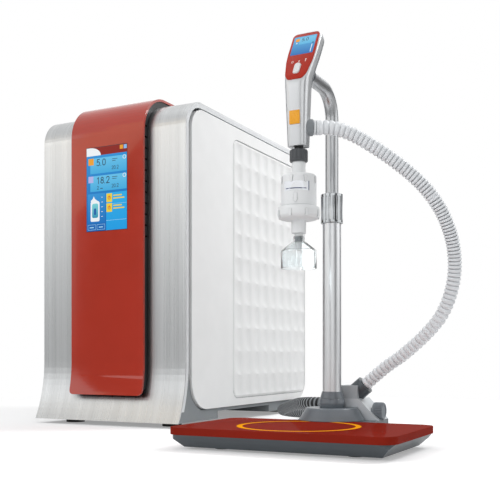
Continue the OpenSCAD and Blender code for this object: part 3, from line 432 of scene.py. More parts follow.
# ---- steel wrap ----
# One sheet of brushed stainless steel, rolled over the front and the top, and flared at its foot.
# The lines of the brushing run with the sheet, so they stand upright on the front.
wrap_steel = brushed("brushed_stainless", "#D3D5D6", 0.3, 1.1, 0, 500, 0.18, Anisotropic=0.4)
# Painted shade: the steel darkens towards #2C2E30 within 22 mm of the spacer and the fascia, standing for
# their shadow on it.
dress(with_painted_shade(wrap_steel, "#2C2E30", 22, False), "steel_wrap")
trim_plastic = moulded("abs_pale_grey", "#DADDDF", 0.3, 1.0, 0.02)
dress(trim_plastic, "edge_trims")

# ---- side panels ----
# White moulded ABS with a softly rounded rim. Each is pushed onto four nylon studs.
panel_abs = moulded("abs_satin_white", "#EDEEEE", 0.34, 1.0, 0.02, 0.03)
dress(panel_abs, "right_side_panel", "left_side_panel", edge=2.5)
dress(moulded("nylon_natural", "#D6D2C4", 0.5, 0.8, 0.03), "right_studs", "left_studs")

# ---- quilted inserts ----
# A thinner white moulding let into each side panel, pressed into rows of shallow hollow facets.
# Nine cells across and eleven up, 35 by 42 mm each.


def quilt_shape():
    """Hollows in a rounded slab: each cell falls away towards the back and ends in a steep wall."""
    y0, y1, z0, z1, r = 159.0, 477.5, 40.0, 500.0, 18.0
    columns, rows, steps = 9, 11, 8
    rim, seam_wide, seam_deep, proud, deep, back_face = 7.0, 2.4, 3.0, 2.1, 3.4, -2.7

    def hollow(u, v):
        a, b = (u * columns) % 1, (v * rows) % 1
        along = min(a / 0.72, (1 - a) / 0.28)
        across = min(1, 3.2 * b, 3.2 * (1 - b))
        return deep * along * across ** 0.6

    def from_corner(y, z):
        """The centre of the nearest rounded corner or edge, and how far away it is."""
        cy, cz = min(max(y, y0 + r), y1 - r), min(max(z, z0 + r), z1 - r)
        return cy, cz, sqrt((y - cy) ** 2 + (z - cz) ** 2)

    def inward(y, z):
        """How far a point lies inside the slab's rounded edge."""
        d = from_corner(y, z)[2]
        return r - d if d else min(y - y0, y1 - y, z - z0, z1 - z)

    ys = [y0 + (y1 - y0) * i / (columns * steps) for i in range(columns * steps + 1)]
    zs = [z0 + (z1 - z0) * j / (rows * steps) for j in range(rows * steps + 1)]
    last_y, last_z = len(ys) - 1, len(zs) - 1
    points, index = [], {}
    for i, y in enumerate(ys):
        for j, z in enumerate(zs):
            y2, z2 = y, z
            cy, cz, d = from_corner(y, z)
            if y != cy and z != cz and d > r:
                y2, z2 = cy + (y - cy) * r / d, cz + (z - cz) * r / d
            e = max(0.0, inward(y2, z2))
            fade = min(1, max(0, (e - 2) / rim))
            cell = hollow((y2 - y0) / (y1 - y0), (z2 - z0) / (z1 - z0))
            x = proud - seam_deep * (1 - min(1, e / seam_wide)) - cell * fade
            index[i, j] = len(points)
            points.append((x, y2, z2))
    faces = [(index[i, j], index[i + 1, j], index[i + 1, j + 1], index[i, j + 1])
             for i in range(last_y) for j in range(last_z)]
    edge = [(i, 0) for i in range(last_y)] + [(last_y, j) for j in range(last_z)]
    edge += [(i, last_z) for i in range(last_y, 0, -1)] + [(0, j) for j in range(last_z, 0, -1)]
    back = []
    for key in edge:
        back.append(len(points))
        points.append((back_face, *points[index[key]][1:]))
    for k in range(len(edge)):
        j = (k + 1) % len(edge)
        faces.append((index[edge[k]], index[edge[j]], back[j], back[k]))
    faces.append(tuple(back))
    return points, faces


quilt_abs = moulded("abs_matt_white", "#EBECEC", 0.42, 1.0, 0.02, 0.03)
# Painted shade: the white darkens towards #8A8D90 in the facets' hollows and along the rim.
with_painted_shade(quilt_abs, "#8A8D90", 4, False)
quilt = quilt_shape()
cabinet_wide, panel_face = 290, 1.1
for side, turn in (("right", lambda x, y, z: (cabinet_wide + x - panel_face, y, z)),
                   ("left", lambda x, y, z: (panel_face - x, y, z))):
    piece(side + "_quilt_facets", moved(quilt, turn), cab, side + "_panel", quilt_abs, (side + "_quilt",),
          28)

# ---- vented spacer ----
# Black moulding that holds the fascia off the steel, with a vent slot every 18 mm down its upper sides.
spacer_abs = moulded("abs_satin_black", "#191B1D", 0.38, 0.8, 0.03)
dress(spacer_abs, "fascia_spacer")

# ---- fascia ----
# Red acrylic-faced moulding, formed over the steel's curve, high gloss under a clear hard coat.
fascia_acrylic, tree, shader = finish_of("acrylic_gloss_red", "#A82F1C", 0.1, IOR=1.49, Coat_Weight=0.3,
                                         Coat_Roughness=0.03)
wave = add(tree, "Bump", {"Height": speckle(tree, 60, 1.0), "Strength": 0.1, "Distance": 0.0002})
tree.links.new(wave.outputs[0], shader.inputs["Normal"])
tree.links.new(spread(tree, speckle(tree, 20, 4.0), 0.07, 0.12), shader.inputs["Roughness"])
toned(tree, shader, spread(tree, speckle(tree, 90), 0, 1), linear("#A42D1A"), linear("#AC301E"))
dress(fascia_acrylic, "fascia", edge=0.9)

# ---- display ----
# A lit colour panel under glass. Its figures and tiles are thin layers on the glass, all of them generic.


def lit(name, colour, low=None, level=0.95):
    """Light from behind the glass, with the fine lines of its pixels. A second colour is its lower edge's."""
    material, tree, shader = finish_of(name, "#101416", 0.18, Specular_IOR_Level=0.15)
    shader.inputs["Emission Strength"].default_value = level
    rows = add(tree, "TexWave", {"Vector": add(tree, "TexCoord", {}).outputs["Object"], "Scale": 450.0},
               bands_direction="Z").outputs[1]
    top = linear(colour)
    if low:
        height = add(tree, "SeparateXYZ", {0: add(tree, "TexCoord", {}).outputs["Generated"]}).outputs[2]
        top = add(tree, "Mix", {0: spread(tree, height, 0, 1, 0, 1), 6: linear(low), 7: top},
                  data_type="RGBA").outputs[2]
    shaded = add(tree, "Mix", {0: 0.06, 6: top, 7: (0, 0, 0, 1)}, data_type="RGBA")
    tree.links.new(add(tree, "Math", {0: rows, 1: 0.06}, operation="MULTIPLY").outputs[0], shaded.inputs[0])
    tree.links.new(shaded.outputs[2], shader.inputs["Emission Color"])
    return material


layer_lift = 0.05


def tiles(name, outlines, layer, material, place, rides):
    """Flat figures on a screen: closed outlines of a place across and a place down, on that layer."""
    shapes = []
    for outline in outlines:
        n = len(outline)
        points = [(u, v, w) for w in (0, 1) for u, v in outline]
        sides = [(i, (i + 1) % n, n + (i + 1) % n, n + i) for i in range(n)]
        shapes.append((points, sides + [tuple(range(n)), tuple(range(2 * n - 1, n - 1, -1))]))
    shape = moved(joined(*shapes), lambda u, v, w: (u, v, layer_lift * (layer - 1 + w)))
    return piece(name, shape, place, rides, material, sharp=20)


def rect(u0, v0, u1, v1, r=0.0):
    """A rectangle's outline, with its corners rounded."""
    return eased([(u0, v0, r), (u1, v0, r), (u1, v1, r), (u0, v1, r)], 4)


def hoop(u, v, r, w):
    """The outline of an open ring."""
    turns = [tau * k / 24 for k in range(25)]
    outer = [(u + r * cos(a), v + r * sin(a)) for a in turns]
    return outer + [(u + (r - w) * cos(a), v + (r - w) * sin(a)) for a in reversed(turns)]


def border(u0, v0, u1, v1, w):
    """A thin frame, as four bars."""
    return [rect(u0, v0, u1, v0 + w), rect(u0, v1 - w, u1, v1), rect(u0, v0 + w, u0 + w, v1 - w),
            rect(u1 - w, v0 + w, u1, v1 - w)]


strokes = {
    "0": [[(0.5, 0), (0.9, 0.12), (1, 0.5), (0.9, 0.88), (0.5, 1), (0.1, 0.88), (0, 0.5), (0.1, 0.12),
           (0.5, 0)]],
    "1": [[(0.15, 0.22), (0.55, 0), (0.55, 1)]],
    "2": [[(0.02, 0.24), (0.15, 0.06), (0.5, 0), (0.85, 0.07), (0.96, 0.28), (0.8, 0.52), (0, 1), (1, 1)]],
    "5": [[(0.92, 0), (0.16, 0), (0.1, 0.45), (0.5, 0.36), (0.86, 0.46), (0.98, 0.68), (0.85, 0.92),
           (0.45, 1), (0, 0.9)]],
    "8": [[(0.5, 0.46), (0.14, 0.36), (0.1, 0.14), (0.5, 0), (0.9, 0.14), (0.86, 0.36), (0.5, 0.46),
           (0.06, 0.6), (0.03, 0.84), (0.5, 1), (0.97, 0.84), (0.94, 0.6), (0.5, 0.46)]],
    ".": [[(0.0, 0.97), (0.0, 1.0)]]}


def figures(text, u, v, high, weight):
    """Numbers drawn with a round pen: their outlines, one short bar for each stroke."""
    bars = []
    for mark in text:
        wide = high * (0.16 if mark == "." else 0.56)
        for stroke in strokes[mark]:
            line = [Vector((u + x * wide, v + y * high)) for x, y in stroke]
            for p, q in zip(line, line[1:]):
                along = (q - p).normalized() * weight / 2
                across = Vector((-along.y, along.x))
                ends = [along * cos(a) + across * sin(a)
                        for a in [radians(d) for d in (-90, -45, 0, 45, 90)]]
                bars.append([tuple(q + e) for e in ends] + [tuple(p - e) for e in ends])
        u += wide + high * 0.2
    return bars


def panel(u, v, w):
    """A place on the cabinet's display: across, down from its top edge, and out of it."""
    return cab(103.5 + u, -14.35 - w, 464 - v)


glass_black = moulded("display_glass", "#14333F", 0.12, 2.0, 0.0, 0.02)
dress(glass_black, "display")
white_light = lit("display_white", "#F4F8FB")
orange_light = lit("display_orange", "#F2A32E")
dark_ink = lit("display_dark_ink", "#3D5A6E", level=0.9)
tile_blue = lit("display_pale_blue", "#69C5EE", "#44AEE2")
sweep = [(8 + 22 * sin(a), 0.6 + 13.6 * (1 - cos(a))) for a in [pi / 2 * k / 12 for k in range(13)]]
swoosh = [(0.6, 0.6)] + sweep + [(0.6, 14.2)]
cell = [(9.2, 89), (13.4, 86), (15.5, 81.5), (17.6, 86), (21.8, 89), (26, 91), (27.4, 93), (27.4, 122.5),
        (26, 124), (10.4, 124), (9, 122.5), (9, 93), (9.6, 91)]
ticks = [rect(31, z, 34, z + 0.8) for z in (84, 92, 100, 108, 116)]
rings = [hoop(77.8, 21.5, 3.4, 0.9), hoop(77.8, 51.5, 3.4, 0.9)]
rules = [rect(41, 123.6, 82, 124.1), rect(41, 96.6, 82, 97)]
keys = border(3.2, 129, 19.6, 138, 0.5) + border(22, 129, 38.4, 138, 0.5)
keys += [rect(7, 133, 15.5, 134.6), rect(26, 133, 34.4, 134.6)]
numbers = figures("5.0", 22, 21, 10.4, 1.5) + figures("18.2", 22, 51, 10.4, 1.5)
numbers += figures("2", 22.6, 65.4, 5.4, 0.8) + figures("20.2", 52.6, 34.2, 5.4, 0.8)
numbers += figures("20.2", 52.6, 64.4, 5.4, 0.8) + [rect(29, 69, 34, 70.4)]
numbers += [rect(53, z, 53 + w, z + 1) for z, w in ((22.4, 11), (25.4, 7), (52, 11), (55, 9))]
bars = [rect(55.6, z, 55.6 + w, z + 2) for z, w in ((82.4, 17), (87, 22), (99, 17), (103.6, 22))]
icons = [hoop(47.3, 86.5, 3, 1), hoop(47.3, 103, 3, 1), rect(46.6, 83, 48, 87), rect(46.6, 99.5, 48, 103.5)]
for name, layer, light, outlines in (
        ("ground", 1, lit("display_blue", "#2A93DA", "#1463B4"), [rect(0.6, 14, 82.6, 140)]),
        ("header", 1, lit("display_red", "#8E1F18"), [rect(0.6, 0.6, 82.6, 14)]),
        ("white_marks", 3, white_light, [swoosh, cell] + ticks + rings),
        ("upper_tile", 2, tile_blue, [rect(8.3, 18.4, 82, 44.2)]),
        ("lower_tile", 2, tile_blue, [rect(8.3, 48.2, 82, 74)]),
        ("right_block", 2, lit("display_azure", "#2FB0EC", "#1F9FE6"), [rect(41, 78, 82.6, 140)]),
        ("left_block", 2, lit("display_mid_blue", "#3596DA", "#1B74C2"), [rect(3, 77.6, 39, 127)]),
        ("rules", 3, lit("display_line", "#A9DDF7"), rules + keys),
        ("orange_marks", 3, orange_light, [rect(68.6, 1.6, 74.9, 8.2), rect(4.4, 18.4, 15.4, 29.6)]),
        ("blue_mark", 3, lit("display_sky", "#8DBFF2"), [rect(76.4, 1.6, 82.4, 8.2)]),
        ("lilac_mark", 3, lit("display_lilac", "#B9B8EA"), [rect(4.4, 48.2, 14.6, 59)]),
        ("numbers", 4, dark_ink, numbers),
        ("yellow_marks", 4, lit("display_yellow", "#F2D33B"),
         [rect(41.6, 79.4, 53, 93.6), rect(41.6, 95.8, 53, 110)] + bars),
        ("red_icons", 5, lit("display_icon_red", "#D8603A"), icons),
        ("cartridge_core", 4, lit("display_teal", "#7FD6DC", "#2E93B5"), [rect(12, 94, 24.6, 118, 3)]),
        ("cartridge_heart", 5, lit("display_deep_blue", "#1F5FA8"), [rect(16, 102, 20.4, 113, 2)])):
    tiles("display_" + name, outlines, layer, light, panel, "base")

# ---- stand plate and tray ----
# The vessel stands on a red acrylic plate with an orange ring let into it. A dark moulded tray
# carries it, tapers in below, and reaches back under the pole's boss.
plate_acrylic, tree, shader = finish_of("acrylic_plate_red", "#822317", 0.3, Specular_IOR_Level=0.0,
                                        Coat_Weight=0.05)
tree.links.new(spread(tree, speckle(tree, 60, 2.0), 0.2, 0.28), shader.inputs["Roughness"])
toned(tree, shader, spread(tree, speckle(tree, 60), 0, 1), linear("#7E2216"), linear("#862418"))
dress(plate_acrylic, "plate_top", edge=0.8)
dress(moulded("acrylic_ring_orange", "#F5A21A", 0.4, 1.0, 0.01, Specular_IOR_Level=0.0), "plate_ring")
tray_abs = moulded("abs_slate", "#454D53", 0.36, 0.9, 0.03)
dress(tray_abs, "plate_tray", edge=0.8)

# ---- boss, ring and cap ----
# Dark moulded cone, ring and cap that clamp the foot of the lower pole to the tray.


def pole_piece(name, corners, material, node):
    """A form turned about the pole, fixed to the base."""
    piece(name, turned(eased(corners)), stand, "base", material, (node,))


boss_abs = moulded("abs_boss_graphite", "#697076", 0.3, 0.9, 0.03)
for name, node, corners in (
        ("boss_cone", "pole_boss", [(0, 28, 0), (46, 28, 0.6), (35, 45, 2.5), (0, 45, 0)]),
        ("boss_ring_band", "boss_ring",
         [(12.9, 45, 0), (16.6, 45, 0.8), (18, 51, 5), (16.8, 57, 0.8), (12.9, 57, 0)]),
        ("boss_cap_cone", "boss_cap", [(12.9, 57, 0), (16.4, 57, 0.5), (13.6, 67, 0.8), (12.9, 67, 0)])):
    pole_piece(name, corners, boss_abs, node)

# ---- poles, clamp and bush ----
# Anodised aluminium tubes. The thin one slides in the thick one, in an acetal bush, and a chromed
# fluted collar hides the top of the thick one. The thin one is bent to a gooseneck.


def anodised(name, colour, roughness):
    """Drawn aluminium tube, anodised: satin, with faint draw lines along it."""
    return brushed(name, colour, roughness, 0.9, 0, 300, 0.07)


pole_aluminium = anodised("anodised_aluminium", "#BCBEC0", 0.34)
# Painted light: the lower tube takes a lighter copy of the same anodised aluminium, standing for the stronger
# light on it.
lit_lower_aluminium = anodised("anodised_aluminium_lit_copy", "#DADCDE", 0.36)
lower_corners = [(0, 30, 0), (12.8, 30, 0), (12.8, 333, 0.6), (10.2, 333, 0.4), (10.2, 300, 0), (0, 300, 0)]
pole_piece("lower_tube", lower_corners, lit_lower_aluminium, "lower_pole")
dress(pole_aluminium, "upper_pole")
bend_r, bend_z, tube_r = 36, 440, 9.0
bend = [(0, 0, z) for z in (206, 260, 320, 380, bend_z)]
bend += [(0, -bend_r + bend_r * cos(a), bend_z + bend_r * sin(a))
         for a in [pi / 2 * k / 24 for k in range(1, 25)]]
bend += [(0, -60, bend_z + bend_r), (0, -90, bend_z + bend_r)]
piece("gooseneck_tube", swept(bend, [tube_r] * len(bend), 64), stand, "arm", pole_aluminium,
      ("upper_pole",))
dress(moulded("acetal_white", "#D8DADB", 0.4, 0.8, 0.02), "guide_bush")
chrome, tree, shader = finish_of("chrome_plating", "#A9ACAE", 0.09, Metallic=1.0)
tree.links.new(spread(tree, speckle(tree, 3, 4.0), 0.06, 0.13), shader.inputs["Roughness"])
toned(tree, shader, spread(tree, speckle(tree, 14), 0, 1), linear("#A3A6A8"), linear("#AFB2B4"))
# Painted shade: the chrome darkens towards #3A3C3E down in the flutes.
with_painted_shade(chrome, "#3A3C3E", 1.4)


def fluted():
    """The clamp collar: eighteen round flutes between two plain rims, and a stepped bore."""
    points, around, flutes, flute_deep = [], 144, 18, 0.75
    levels = [(297.5, 14.6, 0), (298.0, 15.3, 0), (301.0, 15.3, 0), (302.4, 15.3, 1), (332.6, 15.3, 1),
              (334.0, 15.3, 0), (337.0, 15.3, 0), (337.5, 14.6, 0),
              (337.5, 9.9, 0), (333.2, 9.9, 0), (333.2, 12.9, 0), (297.5, 12.9, 0)]
    for z, r, flute in levels:
        for k in range(around):
            dip = flute_deep * flute * max(0, cos(tau * k * flutes / around)) ** 0.7
            points.append(((r - dip) * cos(tau * k / around), (r - dip) * sin(tau * k / around), z))
    return points, skin(len(levels), around, True)


piece("clamp_flutes", fluted(), stand, "collar", chrome, ("clamp_collar",), 25)
dress(moulded("nylon_charcoal", "#3A3F43", 0.42, 0.8, 0.03), "cradle")

# ---- hose bracket, housing and knob ----
# Moulded housing behind the boss: it holds the socket that the hose is pushed into, and the ribbed
# knob of the flow valve.
dress(moulded("abs_mid_grey", "#A7ADB1", 0.36, 0.9, 0.03), "hose_bracket", edge=1.2)
dress(moulded("abs_dark_grey", "#4B5257", 0.38, 0.9, 0.03), "hose_socket", edge=0.8)
dress(moulded("abs_light_grey", "#BFC4C8", 0.36, 0.9, 0.03), "valve_housing", edge=1.0)


def ribbed(profile, ribs, dip, around, closed=False):
    """A turned form whose outside is cut into ribs, where its third number is 1."""
    points = []
    for r, z, cut in profile:
        for k in range(around):
            share = 0.5 - 0.5 * cos(tau * k * ribs / around)
            q = max(0.01, r - dip * cut * share ** 2)
            points.append((q * cos(tau * k / around), q * sin(tau * k / around), z))
    return points, skin(len(profile), around, closed)


knob_abs = moulded("abs_knob_grey", "#737A80", 0.45, 0.7, 0.03)
knob_profile = [(4, -11, 0), (4, -0.4, 0), (10.8, -0.4, 0), (11.8, 0.6, 0), (12, 2, 0), (12, 3, 1),
                (12, 12, 1), (11.4, 13.4, 1), (10.4, 14, 0), (8.6, 14, 0), (8.2, 13.2, 0), (0.2, 13.2, 0)]
knob = moved(ribbed(knob_profile, 30, 0.9, 180), lambda x, y, z: (51 + z, 30 + x, 40 + y))
piece("valve_knob", knob, stand, "knob", knob_abs, ("ribbed_knob",))

# ---- handset shells ----
# Two ABS shells closed along a seam: the front lacquered silver, the back a ribbed grey moulding.
# A straight grip below, and a head that leans back with the screen.


def gun(x, y, z):
    """A place measured in millimetres from the handset's axis."""
    return Vector((x + 207, y - 289.25, z)) / 1000


def face_place(u, v, w):
    """A place on the tilted face: across, up from its foot, and out of it."""
    a = radians(30)
    return gun(u, -14.5 + v * sin(a) - w * cos(a), 458 + v * cos(a) + w * sin(a))


# Each station: front line y, z; back line y, z; width; how square; share of the front shell.
stations = [
    (-11.0, 378, 10.0, 378, 24.2, 0.52, 0.68), (-11.2, 379.5, 10.3, 379.5, 25.2, 0.52, 0.68),
    (-12.0, 395, 11.0, 395, 26.2, 0.54, 0.69), (-13.0, 414, 11.6, 414, 27.8, 0.56, 0.68),
    (-13.9, 433, 12.2, 433, 29.4, 0.58, 0.67), (-14.4, 448, 12.5, 448, 30.8, 0.60, 0.66),
    (-14.2, 457, 12.6, 455.5, 31.8, 0.56, 0.65), (-12.0, 463.4, 12.7, 459.5, 32.8, 0.46, 0.64),
    (-8.5, 469.4, 12.8, 463.5, 34.2, 0.38, 0.64), (-4.5, 475.8, 12.9, 468.0, 35.8, 0.32, 0.64),
    (1.5, 486.0, 15.6, 477.8, 38.2, 0.28, 0.64), (8.5, 498.0, 22.4, 490.0, 40.2, 0.26, 0.64),
    (16.5, 511.8, 30.4, 503.8, 41.0, 0.26, 0.64), (23.5, 523.9, 37.4, 515.9, 41.0, 0.26, 0.64),
    (26.0, 528.2, 38.9, 520.9, 39.8, 0.28, 0.64), (27.4, 530.8, 39.0, 524.2, 37.0, 0.32, 0.64),
    (28.0, 531.8, 38.4, 526.2, 33.4, 0.36, 0.64)]


def station_at(t):
    """The stations' seven numbers, smoothly between them."""
    i = min(int(t), len(stations) - 2)
    near = [stations[max(0, min(len(stations) - 1, j))] for j in (i - 1, i, i + 1, i + 2)]
    return [between(*four, t - i) for four in zip(*near)]


def shell(front):
    """One half of the handset: a loft through the stations, closed along the seam."""
    steps, around = 3, 40
    rows = [station_at(i / steps) for i in range((len(stations) - 1) * steps + 1)]
    points = []
    for fy, fz, by, bz, wide, square, share in rows:
        f, b = Vector((fy, fz)), Vector((by, bz))
        seam = 1 - 2 * share
        edge = asin(max(-0.999,
                        min(0.999, -abs(seam) ** (1 / square) if seam < 0 else seam ** (1 / square))))
        if front:
            angles = [edge + (pi - 2 * edge) * k / (around - 1) for k in range(around)]
            shrink, gap = 1.0, 0.0
        else:
            angles = [pi - edge + (pi + 2 * edge) * k / (around - 1) for k in range(around)]
            shrink, gap = 0.975, 0.35
        for a in angles:
            c, s = cos(a), sin(a)
            x = wide / 2 * shrink * (abs(c) ** square) * (1 if c > 0 else -1)
            t = 0.5 - 0.5 * (abs(s) ** square) * (1 if s > 0 else -1)
            p = f + (b - f) * t
            if not front:
                p = p + (b - f).normalized() * (gap if t < share + 0.03 else 0)
            points.append((x, p.x, p.y))
    return points, skin(len(rows), around)


shell_lacquer, tree, shader = finish_of("abs_silver_lacquer", "#CBCDCF", 0.26, Metallic=0.8)
flake = speckle(tree, 0.3, 2.0)
tree.links.new(spread(tree, flake, 0.33, 0.37), shader.inputs["Roughness"])
toned(tree, shader, spread(tree, flake, 0, 1), linear("#C9CBCD"), linear("#CDCFD1"))
back_abs, tree, shader = finish_of("abs_ribbed_grey", "#6D7276", 0.5)
where = add(tree, "TexCoord", {}).outputs["Object"]
ribs = add(tree, "TexWave", {"Vector": where, "Scale": 160.0}, bands_direction="Z").outputs[1]
bump = add(tree, "Bump", {"Height": ribs, "Strength": 0.6, "Distance": 0.0004})
tree.links.new(bump.outputs[0], shader.inputs["Normal"])
# Painted light and shade: the grey runs from dark #45494C in each rib's trough to light #84898D on its crest.
toned(tree, shader, ribs, linear("#45494C"), linear("#84898D"))
piece("front_shell_silver", shell(True), gun, "handset", shell_lacquer, ("front_shell",), 50)
piece("back_shell_grey", shell(False), gun, "handset", back_abs, ("back_shell",), 50)

# ---- bezel, screen and rocker of the handset ----
# A red acrylic plate bonded to the face, with a small colour screen, three printed signs and a
# silvered rocker for the thumb.


def slab(outline, low, high, edge, steps=3):
    """An outline drawn out, with both its edges rounded."""
    def offset(d):
        line = []
        for i in range(len(outline)):
            p, q, r = (Vector(outline[(i + k) % len(outline)]) for k in (-1, 0, 1))
            one, two = (q - p).normalized(), (r - q).normalized()
            m = Vector((-one.y, one.x)) + Vector((-two.y, two.x))
            line.append(q + m * (2 / max(0.2, m.length_squared)) * d)
        return line
    turns = [pi / 2 * k / steps for k in range(steps + 1)]
    rings = [(edge * (1 - sin(a)), low + edge * (1 - cos(a))) for a in turns]
    rings += [(edge * (1 - cos(a)), high - edge * (1 - sin(a))) for a in turns]
    points = []
    for d, w in rings:
        points += [(p.x, p.y, w) for p in offset(d)]
    return points, skin(len(rings), len(outline))


bezel_line = eased([(10, 1.5, 7), (14.6, 10, 16), (18.2, 33, 30), (18.8, 48, 40), (18.4, 83.4, 6),
                    (-18.4, 83.4, 6), (-18.8, 48, 40), (-18.2, 33, 30), (-14.6, 10, 16), (-10, 1.5, 7)], 6)
bezel_acrylic, tree, shader = finish_of("acrylic_bezel_red", "#A62A1D", 0.2, IOR=1.49,
                                        Specular_IOR_Level=0.12)
tree.links.new(spread(tree, speckle(tree, 6, 4.0), 0.12, 0.22), shader.inputs["Roughness"])
toned(tree, shader, spread(tree, speckle(tree, 25), 0, 1), linear("#A62D1F"), linear("#AE3022"))
piece("bezel_plate", slab(bezel_line, -0.8, 0.8, 0.5), face_place, "handset", bezel_acrylic, ("bezel",))


def screen_place(u, v, w):
    """A place on the handset's screen: across, down from its top edge, and out of it."""
    return face_place(-15.5 + u, 77.5 - v, 0.82 + w)


handset_blue = lit("handset_blue", "#5DB8E6", "#1C6CB8")
made = tiles("handset_screen", [rect(0, 0, 31, 33, 0.8)], 1, handset_blue, screen_place, "handset")
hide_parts("screen")
for name, layer, light, outlines in (
        ("tile", 2, lit("handset_pale_blue", "#7CC9EC", "#5CB8E4"), [rect(8, 2, 30, 14.5)]),
        ("orange", 3, orange_light, [rect(2.6, 3.4, 8.2, 9, 1.4)]),
        ("figures", 3, dark_ink, figures("5.0", 11.4, 3.6, 5.2, 0.8) + [rect(27, 13.2, 29, 15.4, 0.8)]),
        ("white", 3, white_light, [rect(4, 11, 6, 12.6), rect(26.8, 17, 27.8, 31, 0.3)])):
    tiles("handset_screen_" + name, outlines, layer, light, screen_place, "handset")
print_white = moulded("pad_print_white", "#E8D9D4", 0.4, 0.5, 0.0)
signs = [hoop(-9, 32, 1.7, 0.5), rect(-0.6, 30.6, 0.6, 33.4), rect(8.4, 30, 9.4, 34.6),
         rect(7.6, 33.8, 10.2, 34.8)]
tiles("handset_signs", signs, 1, print_white, lambda u, v, w: face_place(u, v, 0.8 + w), "handset")

rocker_silver = moulded("abs_satin_silver", "#DADCDD", 0.3, 0.6, 0.01)
rocker_line = eased([(-4.5, 10, 4.2), (4.5, 10, 4.2), (4.5, 28, 4.2), (-4.5, 28, 4.2)], 8)
rocker_middle, rocker_half, hollow_deep = 19, 9, 0.9


def dished(x, y, w):
    """Hollows the rocker's top for the thumb."""
    return x, y, w - (hollow_deep * (1 - ((y - rocker_middle) / rocker_half) ** 2) if w > 1 else 0)


rocker = moved(slab(rocker_line, -4.5, 2.9, 1.2, 4), dished)
piece("thumb_rocker_cap", rocker, face_place, "rocker", rocker_silver, ("thumb_rocker",))
print_green = moulded("pad_print_green", "#6E8E86", 0.45, 0.5, 0.0)
tiles("rocker_signs", [[(-1.6, 22.6), (1.6, 22.6), (0, 25.2)], [(-1.6, 15.4), (0, 12.8), (1.6, 15.4)]], 1,
      print_green, lambda u, v, w: face_place(u, v, 2.35 + w * 2), "rocker")

# ---- badge and hose gland of the handset ----
# An orange square that marks the kind of water, left plain, and a grey moulded boot that the hose turns in.
badge_acrylic = moulded("acrylic_badge_orange", "#E9A11F", 0.28, 0.8, 0.0)
badge = moved(slab(rect(-7, 404, 7, 421, 0.8), 12.4, 14.05, 0.25), lambda u, v, w: (u, -w + 0.35, v))
piece("badge_square", badge, gun, "handset", badge_acrylic, ("badge",))
boot_profile = [(0, -17, 0), (10.6, -17, 0.5), (10.4, -6, 1), (8.4, -4.6, 0.5), (7.4, -4.6, 0),
                (7.4, -5, 0), (0, -5, 0)]
cuff_profile = [(7.2, -5.5, 0), (8.2, -5.4, 0.3), (9.2, -4.6, 0.6), (9.2, -2.6, 0.6), (7.9, -1.9, 0.2),
                (9.1, -1.2, 0.6), (9.1, 1.2, 0.6), (7.4, 1.6, 0.3), (7.2, 1.0, 0)]


def gland_place(x, y, z):
    """A place on the hose gland's slanting axis."""
    a = radians(30)
    along = Vector((cos(a), sin(a), 0))
    side = Vector((-sin(a), cos(a), 0))
    p = Vector((21, 10, 402)) + along * z + side * x
    return gun(p.x, p.y, p.z + y)


boot_tpe = moulded("tpe_grey", "#7E8387", 0.5, 0.8, 0.04)
piece("hose_boot", turned(eased(boot_profile), 64), gland_place, "handset", boot_tpe, ("hose_gland",))
piece("hose_cuff", turned(eased(cuff_profile), 64), gland_place, "handset", hose_plastic)
dress(moulded("nylon_black_satin", "#111314", 0.35, 0.8, 0.02), "neck")

# ---- filter nut ----
# A ribbed dark nut that screws the filter capsule to the handset's neck.
nut_nylon = moulded("nylon_dark_grey", "#44474A", 0.4, 0.8, 0.03)
nut_profile = [(8.9, 359, 0), (10.6, 359, 0), (11.4, 360, 0), (11.5, 361.6, 0), (11.5, 362.2, 1),
               (11.5, 372.4, 1), (10.9, 373.8, 1), (10.2, 374, 0), (5.6, 374, 0), (5.6, 363.2, 0),
               (8.9, 363.2, 0)]
nut = ribbed(nut_profile, 12, 1.0, 144, True)
piece("filter_nut_ribbed", nut, gun, "nut", nut_nylon, ("filter_nut",))

# ---- capsule filter ----
# White polypropylene capsule, welded at the band, with tapered ribs round both ends, an empty
# label and an arrow for the flow.
capsule_white = moulded("polypropylene_capsule", "#E3E5E6", 0.46, 0.9, 0.01, 0.03, Specular_IOR_Level=0.3)
# Painted shade: the white darkens towards #7C8083 beside the ribs, at the band and in the steps.
capsule_pp = with_painted_shade(capsule_white, "#7C8083", 2.5, False)
capsule = turned(eased([(0, 301.5, 0), (22.2, 301.5, 0), (22.4, 303, 0.4), (22.4, 336, 0),
                        (22.4, 342, 3.6), (10.6, 343.6, 0.8), (10.4, 343.8, 0), (8.6, 345, 1.5),
                        (8.6, 362, 0.5), (0, 362, 0)]), 96)


def end_rib(z0, z1, r, wide, angle, tip):
    """One tapered rib that stands on the capsule."""
    points = []
    for w, z, q in ((wide, z1, r), (wide, z1, r - 2), (tip, z0, r - 2), (tip, z0, r)):
        for s in (-1, 1):
            a = radians(angle) + s * w / 2 / r
            points.append((q * cos(a), q * sin(a), z))
    return points, [(0, 1, 7, 6), (2, 3, 1, 0), (4, 5, 3, 2), (6, 7, 5, 4), (0, 6, 4, 2), (1, 3, 5, 7)]


